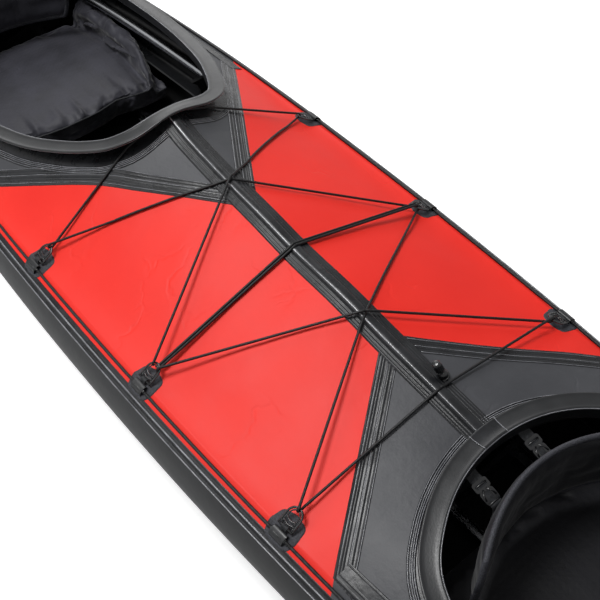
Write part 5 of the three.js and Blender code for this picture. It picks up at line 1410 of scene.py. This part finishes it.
def studio():
    """Plain pale floor, a white world that shines only faintly on the boat, three lamps, the camera."""
    bm = bmesh.new()
    bmesh.ops.create_grid(bm, x_segments=1, y_segments=1, size=20)
    floor = placed("floor", emptied(bm, "floor"))
    material = bpy.data.materials.new("plain pale floor")
    material.use_nodes = True
    tree = material.node_tree
    shader = tree.nodes["Principled BSDF"]
    shader.inputs["Base Color"].default_value = grey(.8)
    shader.inputs["Roughness"].default_value = .9
    seen = add(tree, "ShaderNodeLightPath").outputs["Is Camera Ray"]
    shader.inputs["Emission Color"].default_value = grey(1)
    lift = add(tree, "ShaderNodeMath", {0: seen, 1: .62}, operation="MULTIPLY").outputs[0]
    tree.links.new(lift, shader.inputs["Emission Strength"])
    floor.data.materials.append(material)

    world = bpy.data.worlds.new("studio")
    bpy.context.scene.world = world
    world.use_nodes = True
    tree = world.node_tree
    background = tree.nodes["Background"]
    path = add(tree, "ShaderNodeLightPath")
    glossy = add(tree, "ShaderNodeMath", {0: path.outputs["Is Glossy Ray"],
                                          1: path.outputs["Is Transmission Ray"]}, operation="MAXIMUM")
    strength = add(tree, "ShaderNodeMapRange", {"Value": glossy.outputs[0], "To Min": .17, "To Max": .52})
    seen = add(tree, "ShaderNodeMath", {0: strength.outputs["Result"], 1: path.outputs["Is Camera Ray"]},
               operation="MAXIMUM").outputs[0]
    background.inputs["Color"].default_value = grey(1)
    tree.links.new(seen, background.inputs["Strength"])

    for name, place, target, size, power in (("main", (-1.1, -1.1, 4.5), (.1, 0, .3), 1.6, 150),
                                             ("fill", (-1.5, -3.3, 2.3), (0, -.2, .3), 2, 24),
                                             ("back", (-2.8, 1.4, 2), (-.5, 0, .3), 2.6, 46)):
        lamp = bpy.data.lights.new(name, "AREA")
        lamp.size = size
        lamp.energy = power
        obj = placed(name, lamp)
        obj.location = place
        obj.rotation_euler = (Vector(target) - Vector(place)).to_track_quat("-Z", "Y").to_euler()

    camera = bpy.data.cameras.new("camera")
    camera.lens = 53.34
    camera.sensor_width = 36
    obj = placed("camera", camera)
    # The camera's turn, lift and roll, fitted to the photograph
    turn, lift, roll = (math.radians(v) for v in (51.8697, 49.6915, -1.3904))
    back = Vector((math.sin(turn) * math.cos(lift), -math.cos(turn) * math.cos(lift), math.sin(lift)))
    right = (-back).cross(UP).normalized()
    up = right.cross(-back)
    level = math.cos(roll) * right + math.sin(roll) * up
    upright = -math.sin(roll) * right + math.cos(roll) * up
    matrix = Matrix((level, upright, back)).transposed().to_4x4()
    matrix.translation = (1.00812534, -.70340986, 1.56763531)
    obj.matrix_world = matrix
    bpy.context.scene.camera = obj
    bpy.context.scene.view_settings.view_transform = "Standard"


studio()
